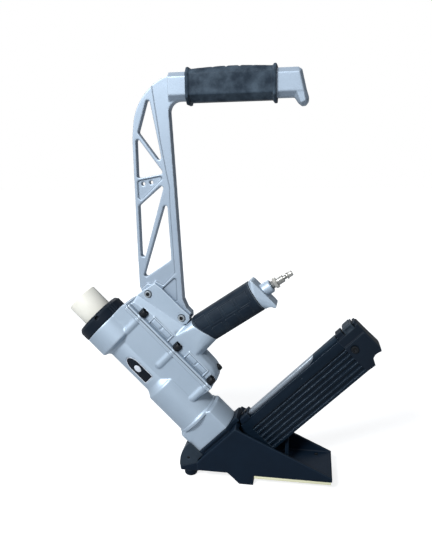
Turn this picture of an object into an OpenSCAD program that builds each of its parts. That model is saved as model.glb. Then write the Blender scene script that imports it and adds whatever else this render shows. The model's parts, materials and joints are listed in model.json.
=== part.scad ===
// Pneumatic flooring nailer, struck with a mallet. Millimetres, +Z up.
// The row frame has its origin at the centre of the heel's bottom face. +X runs back along the shoe.
// The drive axis leaves the rear bottom corner of the heel and rises forward at 45 degrees.
// In the drive frame x is u, across the axis towards the magazine, and z is v, up along the axis.

/* [Shoe] */
// Length of the heel along X
heel_len = 20; // [16:1:26]
// Width of the shoe across its walls
shoe_w = 76.6; // [70:0.2:90]
// Thickness of a shoe wall
wall_t = 4; // [3:0.5:5]
// Thickness of the shoe floor
floor_t = 5.3; // [4:0.1:7]
// Height of the pad's lower face above the heel's lower face
pad_lift = 10.7; // [8:0.1:13]
// Thickness of the base pad
pad_t = 3.5; // [2:0.1:5]
// Length of the base pad
pad_len = 107; // [90:1:112]
// X of the rear end of the shoe
tail_x = 120; // [112:1:130]
// Height of the shoe wall at its rear end, above the floor's lower face
tail_h = 6; // [5.5:0.5:9]
// Height of the underside in front of the heel
under_z = 15.8; // [13:0.1:18]
// X where the underside begins to slope down to the heel
ramp_x = -27; // [-30:1:-24]
// X of the front end of the side walls
wall_front_x = -71; // [-74:1:-68]
// Distance along the drive axis from the heel corner to the nose face of the shoe
nose_len = 77.3; // [76:0.1:80]
// Highest u of the side walls at the nose face
wall_peak_u = 41; // [38:0.5:46]
// Lowest u of the side walls at the nose face
wall_foot_u = -31; // [-33:0.5:-30]

/* [Front of the shoe] */
// Width of the front block and the guard
front_w = 61; // [56:1:66]
// Radius of the guard's front curve
guard_r = 43.5; // [42:0.1:45]
// X of the centre of the guard's front curve
guard_cx = -55; // [-57:0.5:-54]
// Height of the centre of the guard's front curve
guard_cz = 21; // [19:0.5:23]
// Diameter of a foot bumper
foot_d = 19; // [16:0.5:21]
// Height of a foot bumper below its seat
foot_h = 10; // [8:0.5:12]
// Distance between the two foot bumpers
foot_pitch = 42; // [38:1:42]
// X of the foot bumpers
foot_x = -84; // [-86:0.5:-82]

/* [Cylinder housing] */
// Thickness of the nose flange
flange_t = 6.7; // [5:0.1:9]
// Radius of the collar
collar_r = 39.2; // [38:0.1:42]
// Length of the collar
collar_len = 34; // [28:1:38]
// Distance from the drive axis to the flats on the collar
collar_flat = 27.4; // [26.5:0.1:29]
// Radius of the barrel
barrel_r = 33.5; // [32:0.1:35]
// Length of the barrel above the collar
barrel_len = 78; // [70:1:82]
// Radius of the neck
neck_r = 27.5; // [27:0.1:29]
// Length of the neck above the barrel
neck_len = 84; // [80:1:90]
// Radius of the head
head_r = 36.9; // [35.5:0.1:38]
// Length of the head
head_len = 33; // [31:1:36]
// Half width of the flat sided block of the cylinder housing
body_flat = 25.5; // [24:0.1:26.5]
// u of the seam between the two housings
seam_u = 53.2; // [52:0.1:55]
// Extra half width of the seam flange
seam_lip = 3; // [2:0.5:4]
// Distance between neighbouring housing bolts
bolt_pitch = 67.5; // [64:0.5:68]
// Distance from the nose flange to the first housing bolt
bolt_first = 64; // [62:0.5:66]
// Distance of the housing bolts from the middle plane
bolt_y = 22; // [21:0.1:22.5]

/* [Air drive] */
// Bore of the cylinder sleeve
bore_d = 40; // [36:0.5:40.5]
// Wall of the cylinder sleeve
sleeve_t = 2.5; // [2:0.1:2.8]
// Length of the cylinder sleeve
sleeve_len = 124; // [120:1:128]
// Piston stroke
stroke = 71.2; // [68:0.1:72]
// Length of the piston
piston_len = 20; // [16:1:22]
// Length of the bumper under the piston
bumper_len = 18; // [15:0.5:18]
// Width of the driver blade
blade_w = 12.6; // [10:0.1:14]
// Thickness of the driver blade
blade_t = 1.9; // [1.5:0.1:2.4]
// Travel of the head valve
valve_lift = 6; // [4:0.5:7]

/* [Striking head] */
// Radius of the head cap
head_cap_r = 37.3; // [36:0.1:38.5]
// Height of the head cap
head_cap_h = 17.7; // [15:0.1:20]
// Diameter of the ram cap
ram_d = 46.2; // [42:0.2:48]
// Height of the ram cap above the head cap
ram_h = 34.5; // [28:0.5:38]
// Travel of the ram
ram_travel = 12; // [8:0.5:12]
// Diameter of the ram stem
stem_d = 12; // [10:0.5:13]

/* [Handle housing and grip] */
// Distance along u from the seam to the end of the grip
grip_end_u = 136.8; // [132:0.1:141]
// v of the end of the grip
grip_end_v = 190; // [187:0.5:193]
// Angle of the grip to the magazine
grip_tilt = 11; // [9:0.5:13]
// Length of the rubber grip
grip_len = 92; // [88:1:96]
// Half width of the handle housing at its pockets
pocket_flat = 20.8; // [19:0.1:22]
// Height of the rubber grip
grip_h = 45; // [42:0.5:47]
// Width of the rubber grip
grip_w = 38; // [35:0.5:40]
// Thickness of the rubber
grip_t = 3.5; // [3:0.1:4]
// Half width across the two ears
ear_out = 14; // [13:0.5:15]
// Diameter of the arm bolts
arm_bolt_d = 6; // [5:0.5:7]

/* [Arm] */
// Thickness of the thick band of the arm
arm_t = 16; // [14:0.5:18]
// Thickness of the open web of the arm
web_t = 12; // [9:0.5:13]
// Height of the hand bar's top above the front arm bolt
bar_rise = 298.2; // [290:0.1:306]
// Height of the hand bar
bar_h = 36; // [33:0.5:38]
// Width of the hand bar
bar_w = 30; // [27:0.5:32]
// Distance from the front arm bolt to the rear end of the hand bar
bar_reach = 209; // [200:1:216]
// Length of the rubber on the hand bar, between its flanges
top_grip_len = 109; // [98:1:110]
// Thickness of the rubber on the hand bar
top_grip_t = 2.5; // [2:0.5:4]

/* [Magazine] */
// Thickness of the magazine
mag_w = 24; // [22:0.5:26]
// Height of the magazine
mag_h = 57; // [55:0.5:57.5]
// Drop from the nose face to the top of the magazine
mag_drop = 8.8; // [8.3:0.1:9.3]
// u of the rear end of the magazine
mag_end = 229; // [215:1:240]
// Width of the staple track
track_w = 9; // [8:0.1:10]
// Thickness of a magazine side behind its ribs
mag_skin = 2.5; // [2:0.1:3]
// Travel of the pusher
pusher_travel = 165; // [150:1:168]
// Length of the end cap
cap_len = 36.5; // [35:0.5:40]
// Width of the end cap
cap_w = 30; // [28:0.5:33]
// Travel of the latch button
latch_travel = 3; // [2:0.5:4]

/* [Air plug] */
// Hexagon of the air plug across its flats
plug_af = 14; // [12:1:17]
// Diameter of the air plug's nose
plug_nose_d = 7.9; // [7.5:0.1:8.2]
// Length of the air plug's nose
plug_nose_len = 6.5; // [6:0.5:9]

/* [Fits] */
// Gap of a guided moving piece, each way
run_gap = 0.08; // [0.02:0.01:0.1]
// Gap round a loose piece, each way
loose_gap = 0.3; // [0.2:0.05:0.5]
// Thickness of a paper gasket
gasket_t = 0.8; // [0.5:0.1:1.2]

/* [Hidden] */
$fn = 64;

// Colours of the finishes
SILVER = "#aeb9c4";
BLACK = "#23282e";
STEEL = "#b9bcc0";
RUBBER = "#1b1d22";
WHITE = "#e9e7df";
BRASS = "#b58f4c";

tilt = 45;
k = cos(tilt);
heel_x = heel_len / 2;
eps = 0.01;
big = 400;

// Point of the middle plane, X and Z, that lies at u and v of the drive frame
function at(u, v) = [heel_x + (u - v) * k, (u + v) * k];
// Points of an arc about c, from angle a to angle b
function arc(c, r, a, b, n = 8) = [for (i = [0:n]) c + r * [cos(a + (b - a) * i / n),
    sin(a + (b - a) * i / n)]];

// Places children in the drive frame
module drive() {
    translate([heel_x, 0, 0]) rotate([0, -tilt, 0]) children();
}
// Extrudes an outline drawn in X and Z by w, centred on Y = 0
module slab(w) {
    translate([0, w / 2, 0]) rotate([90, 0, 0]) linear_extrude(w) children();
}
// Extrudes an outline drawn in X and Z from y to y + w
module slab_at(y, w) {
    translate([0, y + w, 0]) rotate([90, 0, 0]) linear_extrude(w) children();
}
// Both halves of something drawn on the near side
module both_sides() {
    children();
    mirror([0, 1, 0]) children();
}
// Cylinder along Y from y to y + w
module rod_y(p, r, y, w) {
    translate([p[0], y, p[1]]) rotate([-90, 0, 0]) cylinder(r = r, h = w);
}
// Box given by its lowest and highest corners
module box(a, b) {
    translate(a) cube(b - a);
}
// Hexagonal prism along Z
module hex(af, h) {
    cylinder(r = af / sqrt(3), h = h, $fn = 6);
}
// Ring of round section about Z
module o_ring(r, wire_r, z) {
    translate([0, 0, z]) rotate_extrude() translate([r, 0]) circle(r = wire_r, $fn = 16);
}
// Open tube about Z
module tube(r_out, r_in, z, h) {
    translate([0, 0, z]) difference() {
        cylinder(r = r_out, h = h);
        translate([0, 0, -1]) cylinder(r = r_in, h = h + 2);
    }
}

// Heights in the drive frame
mag_v = nose_len - mag_drop - mag_h;
v_flange = nose_len + flange_t;
v_collar = v_flange + collar_len;
ring_r = 35.3;
ring_len = 6;
v_barrel = v_collar + barrel_len;
v_neck = v_barrel + neck_len;
v_head = v_neck + head_len + loose_gap;
v_cap = v_head + head_cap_h;
barrel_blend = 8;
head_blend = 6;

// Shoe
pad_top = pad_lift + pad_t;
floor_top = pad_top + floor_t;
in_w = shoe_w - 2 * wall_t;
belly_top = under_z + 12;
pad_gap = 1.5;
pad_screw_x = [32, 98];
pad_screw_y = 27;
pad_screw_r = 2.5;
saddle_x = 53;
saddle_t = 5;
saddle_w = 8;
plate_t = 7;
nose_screw_u = 24;
nose_screw_y = 20;
nose_screw_r = 3;
nose_screw_head = 5;
nose_screw_in = 14;
peak_boss = 9;
flange_rim = 0.8;
flange_back = wall_peak_u + 5;
side_line = [[-110, 12], [-74, 23.5]];
guide_w = 32;
guide_front_t = 9;
guide_rear_t = 6;
blade_gap = loose_gap;
slot_w = blade_w + 2 * blade_gap;
slot_t = blade_t + 2 * blade_gap;
mag_front_u = slot_t / 2 + guide_rear_t + 2.5;

module shoe_outline() {
    polygon([
        [-heel_x, 0], [heel_x, 0], [heel_x, pad_top], [tail_x, pad_top], [tail_x, pad_top + tail_h],
        at(wall_peak_u, nose_len), at(wall_foot_u, nose_len),
        [wall_front_x, at(wall_foot_u, nose_len)[1] - 5], [wall_front_x, under_z], [ramp_x, under_z]
    ]);
}
module belly_outline() {
    polygon([
        [wall_front_x, under_z], [ramp_x, under_z], [-heel_x, 0], [heel_x, 0], [heel_x, pad_top],
        [tail_x, pad_top], [tail_x, floor_top], [heel_x + 6, floor_top], [heel_x - 6, belly_top],
        [wall_front_x, belly_top]
    ]);
}
module front_outline() {
    intersection() {
        translate([guard_cx, guard_cz]) circle(r = guard_r, $fn = 96);
        polygon([[-big, foot_h], [wall_front_x + eps, foot_h], [wall_front_x + eps, side_line[1][1]],
            side_line[1], side_line[0]]);
    }
}
module mag_envelope(g) {
    box([mag_front_u - g, -mag_w / 2 - g, mag_v - g], [big, mag_w / 2 + g, mag_v + mag_h + g]);
}
module nose_screw_places() {
    for (su = [-1, 1], sy = [-1, 1]) translate([su * nose_screw_u, sy * nose_screw_y, 0]) children();
}
module guide_pocket(g) {
    box([-slot_t / 2 - guide_front_t - g, -guide_w / 2 - g, -30],
        [slot_t / 2 + guide_rear_t + g, guide_w / 2 + g, nose_len + 1]);
}

module shoe() {
    color(BLACK) difference() {
        union() {
            both_sides() slab_at(-shoe_w / 2, wall_t) shoe_outline();
            slab(shoe_w - 2 * wall_t + eps) belly_outline();
            slab(front_w) front_outline();
            drive() box([wall_foot_u, -in_w / 2 - eps, nose_len - plate_t],
                [wall_peak_u, in_w / 2 + eps, nose_len]);
            both_sides() slab_at(-shoe_w / 2, peak_boss) polygon([
                at(wall_peak_u, nose_len), at(wall_peak_u - 12, nose_len),
                at(wall_peak_u - 12, nose_len - 14),
                at(wall_peak_u + 2, nose_len - 12)]);
            slab(saddle_w) polygon([
                [saddle_x, floor_top - 1], [saddle_x + saddle_t, floor_top - 1],
                [saddle_x + saddle_t, saddle_x + saddle_t - heel_x + mag_v / k],
                [saddle_x, saddle_x - heel_x + mag_v / k]]);
        }
        drive() guide_pocket(0);
        drive() mag_envelope(0);
        // Room in front of the nose face for the flange
        drive() box([-collar_r - flange_rim - 1, 1 - in_w / 2, nose_len],
            [wall_foot_u - eps, in_w / 2 - 1, v_collar]);
        drive() nose_screw_places() {
            translate([0, 0, nose_len - plate_t - 1]) cylinder(r = nose_screw_r + 0.2, h = plate_t + 2);
            translate([0, 0, nose_len - plate_t - 12]) cylinder(r = nose_screw_head + loose_gap, h = 12);
        }
        both_sides() translate([foot_x, -foot_pitch / 2, foot_h - 1]) cylinder(r = foot_d / 4, h = 7);
        for (x = pad_screw_x) both_sides() translate([x, -pad_screw_y, pad_top - 1])
            cylinder(r = pad_screw_r, h = floor_t + 2);
    }
}

module base_pad() {
    color("#ded9c4") difference() {
        box([heel_x + pad_gap, -shoe_w / 2, pad_lift], [heel_x + pad_gap + pad_len, shoe_w / 2, pad_top]);
        for (x = pad_screw_x) both_sides() translate([x, -pad_screw_y, pad_lift - 1]) {
            cylinder(r = pad_screw_r, h = pad_t + 2);
            cylinder(r = pad_screw_r * 2, h = 2.5);
        }
    }
}
module pad_screws() {
    color(STEEL) for (x = pad_screw_x) both_sides() translate([x, -pad_screw_y, 0]) {
        translate([0, 0, pad_lift + 0.2]) cylinder(r = pad_screw_r * 2, h = 1.3);
        translate([0, 0, pad_lift + 1]) cylinder(r = pad_screw_r, h = floor_top - pad_lift);
    }
}
module foot_bumpers() {
    corner = 4;
    color(RUBBER) both_sides() translate([foot_x, -foot_pitch / 2, 0]) {
        rotate_extrude() polygon(concat(
            [[0, foot_h], [foot_d / 2, foot_h]],
            arc([foot_d / 2 - corner, corner], corner, 0, -90, 8),
            [[0, 0]]));
        translate([0, 0, foot_h - eps]) cylinder(r = foot_d / 4, h = 6);
    }
}

guard_pin_p = [-85, 30];
guard_pin_r = 2;
guard_skin = 5;
module guard_outline(inset = 0) {
    intersection() {
        translate([guard_cx, guard_cz]) circle(r = guard_r - inset, $fn = 96);
        offset(delta = -inset) polygon([
            side_line[0], side_line[1], [wall_front_x - loose_gap, side_line[1][1]],
            [wall_front_x - loose_gap, belly_top + loose_gap],
            at(wall_foot_u - loose_gap, nose_len + loose_gap),
            at(-25, nose_len + loose_gap), at(-25, nose_len + 22), [-110, 70]]);
    }
}
module front_guard() {
    color("#3a4046") difference() {
        slab(front_w) guard_outline();
        slab(front_w - 2 * guard_skin) translate([guard_skin, 0]) guard_outline(guard_skin);
        slab(front_w - 2 * guard_skin) translate([guard_skin * 2, -guard_skin]) guard_outline(guard_skin);
        drive() translate([0, 0, nose_len - 1]) cylinder(r = collar_r + flange_rim + loose_gap,
            h = collar_len + flange_t);
        rod_y(guard_pin_p, guard_pin_r, -front_w, 2 * front_w);
    }
}
module guard_pin() {
    color(STEEL) rod_y(guard_pin_p, guard_pin_r, -front_w / 2 + 1, front_w - 2);
}

module nose_flange() {
    color(BLACK) drive() difference() {
        union() {
            intersection() {
                translate([0, 0, nose_len]) cylinder(r = collar_r + flange_rim, h = flange_t);
                box([-big, -collar_flat - 2.6, 0], [big, collar_flat + 2.6, big]);
            }
            box([20, -18, nose_len], [flange_back, 18, nose_len + flange_t]);
        }
        box([-slot_t / 2, -slot_w / 2, 0], [slot_t / 2, slot_w / 2, big]);
        nose_screw_places() translate([0, 0, nose_len - 1]) cylinder(r = nose_screw_r + 0.2,
            h = flange_t + 2);
        both_sides() box([-22, -collar_flat - 4, nose_len + 0.8],
            [34, -collar_flat - 0.6, nose_len + 2.6]);
    }
}
module nose_screws() {
    color(STEEL) drive() nose_screw_places() {
        translate([0, 0, nose_len - plate_t - 6]) cylinder(r = nose_screw_head, h = 6);
        translate([0, 0, nose_len - plate_t - eps]) cylinder(r = nose_screw_r,
            h = plate_t + flange_t + nose_screw_in);
    }
}

// Steel guides beside the driver blade
module heel_clip() {
    slab(guide_w * 2) polygon([[-big, 0.3], [heel_x - 0.3, 0.3], [heel_x - 0.3, 60], [40, 100],
        [40, big], [-big, big]]);
}
module driver_guide_front() {
    color(STEEL) intersection() {
        drive() difference() {
            box([-slot_t / 2 - guide_front_t, -guide_w / 2, -10], [slot_t / 2, guide_w / 2, nose_len]);
            box([-slot_t / 2, -slot_w / 2, -20], [slot_t, slot_w / 2, big]);
        }
        heel_clip();
    }
}
module driver_guide_rear() {
    color(STEEL) intersection() {
        drive() difference() {
            box([slot_t / 2, -guide_w / 2, -10], [slot_t / 2 + guide_rear_t, guide_w / 2, nose_len]);
            box([0, -slot_w / 2, mag_v], [slot_t / 2 + guide_rear_t + 1, slot_w / 2, mag_v + mag_h]);
        }
        heel_clip();
    }
}

// Cylinder housing
sleeve_r = bore_d / 2 + sleeve_t;
air_gap = 1.7;
chamber_r = sleeve_r + air_gap;
v_sleeve = v_flange + 6;
v_sleeve_top = v_sleeve + sleeve_len;
v_thread = v_head - loose_gap - 20;
thread_r = 31;
block_low = v_flange + bolt_first - 7.5;
bolt_v = [for (i = [0:2]) v_flange + bolt_first + i * bolt_pitch];
boss_r = 6.5;
boss_start = 23;
ridge_t = 2;
ridge_len = 5;
bolt_r = 3;
bolt_head_r = 5.2;
bolt_head_h = 8.5;
bolt_in = 28;
ledge_t = 3.2;
plate_angle = 10;
plate_dist = 25.9;
plate_v = 233;
plate_len = 46;
plate_h = 17;
v_seam_top = v_head - 3;

module block_outline() {
    polygon([[0, block_low + 4], [30, block_low + 2], [44, block_low], [seam_u, block_low],
        [seam_u, v_seam_top], [46, v_head - loose_gap], [0, v_head - loose_gap]]);
}
module plate_frame() {
    rotate([0, 0, -plate_angle]) translate([0, -plate_dist, plate_v]) rotate([90, 0, 0]) children();
}
// Name plate outline, x across the drive axis and y along it
module plate_outline() {
    intersection() {
        union() {
            translate([0, plate_len * 0.1]) scale([1, 1.9]) circle(r = plate_h / 2 * 1.02, $fn = 48);
            translate([-plate_h / 2, -plate_len / 2]) square([plate_h, plate_len * 0.6]);
        }
        translate([-plate_h / 2, -plate_len / 2]) square([plate_h, plate_len]);
    }
}
module plate_outline_soft(grow = 0) {
    offset(r = grow + 1.5) offset(delta = -1.5) plate_outline();
}

module housing_shell() {
    intersection() {
        rotate_extrude() polygon([
            [0, v_flange], [collar_r, v_flange], [collar_r, v_collar - 1], [collar_r - 2, v_collar + 1.5],
            [ring_r, v_collar + 2.5], [0, v_collar + 2.5]]);
        box([-big, -collar_flat, 0], [big, collar_flat, big]);
    }
    rotate_extrude() polygon(concat(
        [[0, v_collar], [ring_r, v_collar], [ring_r, v_collar + ring_len - 1],
        [barrel_r, v_collar + ring_len],
         [barrel_r, v_barrel - barrel_blend]],
        arc([barrel_r - 4, v_barrel - barrel_blend], 4, 0, 60, 4),
        [[neck_r + 1.2, v_barrel + 0.5], [neck_r, v_barrel + 4], [neck_r, v_neck - head_blend],
        [neck_r + 2, v_neck - 2.5],
         [head_r - 1.5, v_neck], [head_r, v_neck + 1.5], [head_r, v_head - loose_gap - 1],
         [head_r - 1, v_head - loose_gap],
         [0, v_head - loose_gap]]));
    slab(2 * body_flat) block_outline();
    slab(2 * (body_flat + seam_lip)) polygon([
        [seam_u - ridge_len, block_low], [seam_u, block_low], [seam_u, v_seam_top - 4],
        [seam_u - ridge_len, v_seam_top - 4]]);
    for (v = bolt_v) both_sides() translate([0, -bolt_y, v]) {
        translate([boss_start, 0, 0]) rotate([0, 90, 0]) cylinder(r = boss_r, h = seam_u - boss_start);
        translate([boss_start, 0, 0]) sphere(r = boss_r);
        for (x = [seam_u - ridge_len, seam_u - ridge_t]) translate([x, 0, 0]) rotate([0, 90, 0])
            cylinder(r = boss_r + 0.8, h = ridge_t);
    }
}
module cylinder_housing() {
    groove = 0.8;
    color(SILVER) drive() difference() {
        housing_shell();
        translate([0, 0, v_flange - 1]) cylinder(r = 18, h = 10);
        translate([0, 0, v_sleeve]) cylinder(r = sleeve_r, h = 8);
        translate([0, 0, v_sleeve + 8 - eps]) cylinder(r = chamber_r, h = big);
        translate([0, 0, v_thread]) cylinder(r = thread_r, h = big);
        // Air way from the handle housing
        box([0, -15, bolt_v[0] + 10], [seam_u + 1, 15, bolt_v[2] - 12]);
        // Groove between the two ridges along the seam
        both_sides() difference() {
            box([seam_u - ridge_len + ridge_t, -body_flat - seam_lip - 3, block_low - 1],
                [seam_u - ridge_t, -body_flat - seam_lip + groove, v_head]);
            for (v = bolt_v) translate([0, -bolt_y, v]) rotate([0, 90, 0])
                cylinder(r = boss_r, h = seam_u + 1);
        }
        for (v = bolt_v) both_sides() translate([bolt_in, -bolt_y, v]) rotate([0, 90, 0])
            cylinder(r = bolt_r, h = big);
        nose_screw_places() translate([0, 0, v_flange - 1]) cylinder(r = nose_screw_r,
            h = nose_screw_in + 2);
        // Recess of the name plate
        plate_frame() linear_extrude(10) plate_outline_soft(1.2);
        plate_frame() translate([0, 0, -1.2]) linear_extrude(10) plate_outline_soft(0.05);
    }
}
module nameplate() {
    color("#14181f") drive() plate_frame() translate([0, 0, -1.2]) linear_extrude(1.5)
        plate_outline_soft(0);
}
module nameplate_badge() {
    color("#dfe3ea") drive() plate_frame() translate([0, 0, 0.3]) scale([1, 1.35, 1])
        cylinder(r = 4.4, h = 0.5);
}
module housing_gasket() {
    color("#6b5a44") drive() difference() {
        slab(2 * (body_flat + seam_lip)) polygon([
            [seam_u, block_low], [seam_u + gasket_t, block_low], [seam_u + gasket_t, v_seam_top - 4],
            [seam_u, v_seam_top - 4]]);
        box([seam_u - 1, -15, bolt_v[0] + 10], [seam_u + 2, 15, bolt_v[2] - 12]);
        for (v = bolt_v) both_sides() translate([seam_u - 1, -bolt_y, v]) rotate([0, 90, 0])
            cylinder(r = bolt_r + 0.1, h = 4);
    }
}
seat_u = seam_u + gasket_t;
module housing_bolts() {
    color("#1a1c20") drive() for (v = bolt_v) both_sides() translate([0, -bolt_y, v]) rotate([0, 90, 0])
        difference() {
        union() {
            translate([0, 0, bolt_in + 2]) cylinder(r = bolt_r, h = seat_u + ledge_t - bolt_in - 2 + eps);
            translate([0, 0, seat_u + ledge_t]) cylinder(r = bolt_head_r, h = bolt_head_h);
        }
        translate([0, 0, seat_u + ledge_t + bolt_head_h - 3]) hex(5, 4);
    }
}

// Handle housing
grip_u = seam_u + grip_end_u;
core_h = grip_h - 2 * grip_t;
core_w = grip_w - 2 * grip_t;
ear_in = arm_t / 2 + loose_gap;
ear_bolt = [[seam_u + 30.3, v_neck + 18.1], [seam_u + 40.5, v_neck - 39.5]];
ear_low = [[seam_u + 18, v_seam_top - 2], [seam_u + 20.6, v_neck + 21], [seam_u + 30.3, v_neck - 38]];
ledge_u = seat_u + ledge_t;
skin = 1.4;
arm_well_r = arm_bolt_d * 0.9;
arm_well = 2.6;
module grip_frame() {
    translate([grip_u, 0, grip_end_v]) rotate([0, grip_tilt, 0]) children();
}
// Oval section of the grip, x along Z of the grip frame and y along Y
module oval(h, w) {
    hull() both_sides() translate([0, -(w / 2 - w * 0.36)]) scale([h / w / 0.72, 1])
        circle(r = w * 0.36, $fn = 32);
}
module oval_prism(h, w, x0, x1) {
    translate([x0, 0, 0]) rotate([0, 90, 0]) linear_extrude(x1 - x0) oval(h, w);
}
module ear_outline() {
    polygon([
        ear_low[0], ear_low[1], ear_low[2], ear_bolt[1] + [-7, -8], ear_bolt[1] + [-1, -10.5],
        ear_bolt[1] + [6.5, -10], ear_bolt[1] + [11, -5], ear_bolt[1] + [10, 9], ear_bolt[0] + [20, -8],
        ear_bolt[0] + [18.5, 4], ear_bolt[0] + [-1, 8.5]]);
}
// Corners of the arm's foot between the ears
foot_corners = [
    ear_bolt[0] + [-4, 9], ear_bolt[0] + [-8, -2], ear_bolt[1] + [-8, 2], ear_bolt[1] + [-5, -7],
    ear_bolt[1] + [5, -8], ear_bolt[1] + [13.5, -5], ear_bolt[0] + [23.7, -8], ear_bolt[0] + [19, 6]];
module slot_outline() {
    polygon([
        ear_bolt[0] + [-4.4, 30], ear_bolt[0] + [-8.4, -2], ear_bolt[1] + [-8.4, 2],
        ear_bolt[1] + [-5.4, -7.4],
        ear_bolt[1] + [5, -8.4], ear_bolt[1] + [30, -8.4], ear_bolt[0] + [60, 30]]);
}
// Rounded lobe below the grip
module lobe() {
    r = 22;
    c = [seat_u + 1, block_low + r];
    hull() {
        slab(2 * pocket_flat) polygon(concat([[seat_u, block_low]], arc(c, r - 7.5, -70, 30, 8),
            [[seat_u + 17, v_neck - 90], [seat_u, v_neck - 90]]));
        slab(2 * pocket_flat - 8) polygon(concat([[seat_u, block_low]], arc(c, r - 2.5, -70, 20, 8),
            [[seat_u + 21.5, v_neck - 97], [seat_u, v_neck - 90]]));
        slab(2 * pocket_flat - 24) polygon(concat([[seat_u, block_low]], arc(c, r + 1, -70, 15, 8),
            [[seat_u + 24.5, v_neck - 102], [seat_u, v_neck - 90]]));
    }
}
// Neck between the lobe and the grip
module neck() {
    difference() {
        hull() {
            slab(2 * pocket_flat) polygon([
                [seat_u + 8, v_neck - 91], [seat_u + 22, v_neck - 90], [seat_u + 32, v_neck - 80],
                [seat_u + 32, v_neck - 56], [seat_u + 20, v_neck - 52], [seat_u + 8, v_neck - 52]]);
            slab(2 * pocket_flat - 16) polygon([[seat_u + 8, v_neck - 97], [seat_u + 26, v_neck - 97],
                [seat_u + 30, v_neck - 50], [seat_u + 8, v_neck - 47]]);
            grip_frame() oval_prism(grip_h - skin, grip_w - skin, -grip_len + 12, -grip_len + 13);
        }
        grip_frame() slab(grip_w * 2) grip_start();
    }
}
module handle_body() {
    slab(2 * (body_flat + seam_lip)) polygon([
        [seat_u, block_low], [ledge_u, block_low], [ledge_u, v_seam_top - 4], [seat_u, v_seam_top - 4]]);
    for (v = bolt_v) both_sides() translate([seat_u, -bolt_y, v]) rotate([0, 90, 0])
        cylinder(r = boss_r + 0.8, h = ledge_t);
    lobe();
    neck();
    slab(2 * pocket_flat) polygon([
        [seat_u, block_low + 20], [ledge_u + 12, v_neck - 100], [ledge_u + 17, v_neck - 60],
        [ledge_u + 14, v_neck - 46],
        [ledge_u + 11, v_neck - 5], [ledge_u + 5, v_seam_top - 6], [seat_u, v_seam_top - 4]]);
    // Slope from the pocket face up to the ears
    hull() {
        slab(2 * pocket_flat) polygon([[ledge_u, v_neck - 50], [ledge_u + 14, v_neck - 47],
            [ledge_u + 11, v_neck - 5], [ledge_u + 5, v_seam_top - 6], [ledge_u, v_seam_top - 5]]);
        slab(2 * ear_out - 2) polygon([ear_low[0], ear_low[1], ear_low[2], ear_bolt[1] + [-4, -14],
            [ledge_u, v_neck - 50], [ledge_u, v_seam_top - 5]]);
    }
    slab(2 * ear_out) ear_outline();
    grip_frame() oval_prism(core_h, core_w, -grip_len - 4, 1);
}
module handle_housing() {
    color(SILVER) drive() difference() {
        union() {
            handle_body();
            both_sides() for (v = pocket_v) pocket_frame(v);
        }
        // Air reservoir
        box([seat_u - 1, -15, bolt_v[0] + 10], [seat_u + 12, 15, bolt_v[2] - 12]);
        grip_frame() rotate([0, 90, 0]) translate([0, 0, -grip_len - 27])
            cylinder(r = 11, h = grip_len + 40);
        slab(2 * ear_in) slot_outline();
        for (p = ear_bolt) {
            rod_y(p, arm_bolt_d / 2, -big, 2 * big);
            both_sides() rod_y(p, arm_well_r, -ear_out - 1, arm_well + 1);
        }
        for (v = bolt_v) both_sides() translate([seat_u - 1, -bolt_y, v]) rotate([0, 90, 0]) {
            cylinder(r = bolt_r, h = 8);
            translate([0, 0, 1 + ledge_t]) cylinder(r = bolt_head_r + 0.8, h = bolt_head_h + 1);
        }
        translate([plug_u, 0, plug_v]) rotate([0, 90, 0]) {
            cylinder(r = plug_r, h = 30);
            translate([0, 0, plug_out]) cylinder(r = plug_r + 1 + loose_gap, h = 30);
        }
    }
}
pocket_v = [bolt_v[0] + 12, bolt_v[1] + 15];
pocket_len = 39;
pocket_w = 13;
// Raised frame with two low panels, open towards the seam
module pocket_frame(v) {
    rise = 1.3;
    translate([ledge_u - 1, -pocket_flat - rise, v]) difference() {
        box([0, 0, 0], [pocket_w, rise + 1, pocket_len]);
        box([-1, -1, 1.6], [2.6, rise + 1, pocket_len - 1.6]);
        difference() {
            box([1, -1, 1.8], [pocket_w - 1.8, rise + 1, pocket_len - 1.8]);
            box([4, 0.5, 3.4], [pocket_w - 3.2, rise + 2, pocket_len / 2 - 1]);
            box([4, 0.5, pocket_len / 2 + 2.2], [pocket_w - 3.2, rise + 2, pocket_len - 3.4]);
        }
    }
}
plug_u = seat_u + 12;
plug_v = block_low + 11;
plug_out = 8.5;
plug_r = 4;
module housing_plug() {
    color("#1a1c20") drive() translate([plug_u, 0, plug_v]) rotate([0, 90, 0]) {
        cylinder(r = plug_r, h = plug_out + eps);
        translate([0, 0, plug_out]) cylinder(r = plug_r + 1, h = 3.5);
    }
}

module grip_start() {
    polygon([[-grip_len - 4, 30], [-grip_len - 3, 14], [-grip_len + 2, 2], [-grip_len + 8, -10],
        [-grip_len + 13, -30], [4, -30], [1, 30]]);
}
module rear_grip() {
    color(RUBBER) drive() grip_frame() intersection() {
        difference() {
            oval_prism(grip_h, grip_w, -grip_len - 6, 4);
            oval_prism(core_h, core_w, -grip_len - 10, 8);
            difference() {
                both_sides() slab_at(-grip_w, grip_w - 4) pad_lines();
                oval_prism(grip_h - 1.4, grip_w - 1.4, -grip_len - 10, 8);
            }
        }
        slab(grip_w * 2) grip_start();
        box([-grip_len - 1.9, -50, -50], [0.9, 50, 50]);
    }
}
// Sunk outlines of the moulded grip pads, in two rows
module pad_lines() {
    for (i = [0:3]) translate([-grip_len + 0.5 + i * 22.5, 1.5 - i * 0.6]) pad_ring(19, 16.5);
    for (i = [0:2]) translate([-grip_len + 17 + i * 22.5, -18.5]) pad_ring(19, 16.5);
}
module pad_ring(w, h) {
    line = 1.1;
    difference() {
        square([w, h]);
        translate([line, line]) square([w - 2 * line, h - 2 * line]);
    }
}

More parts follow.
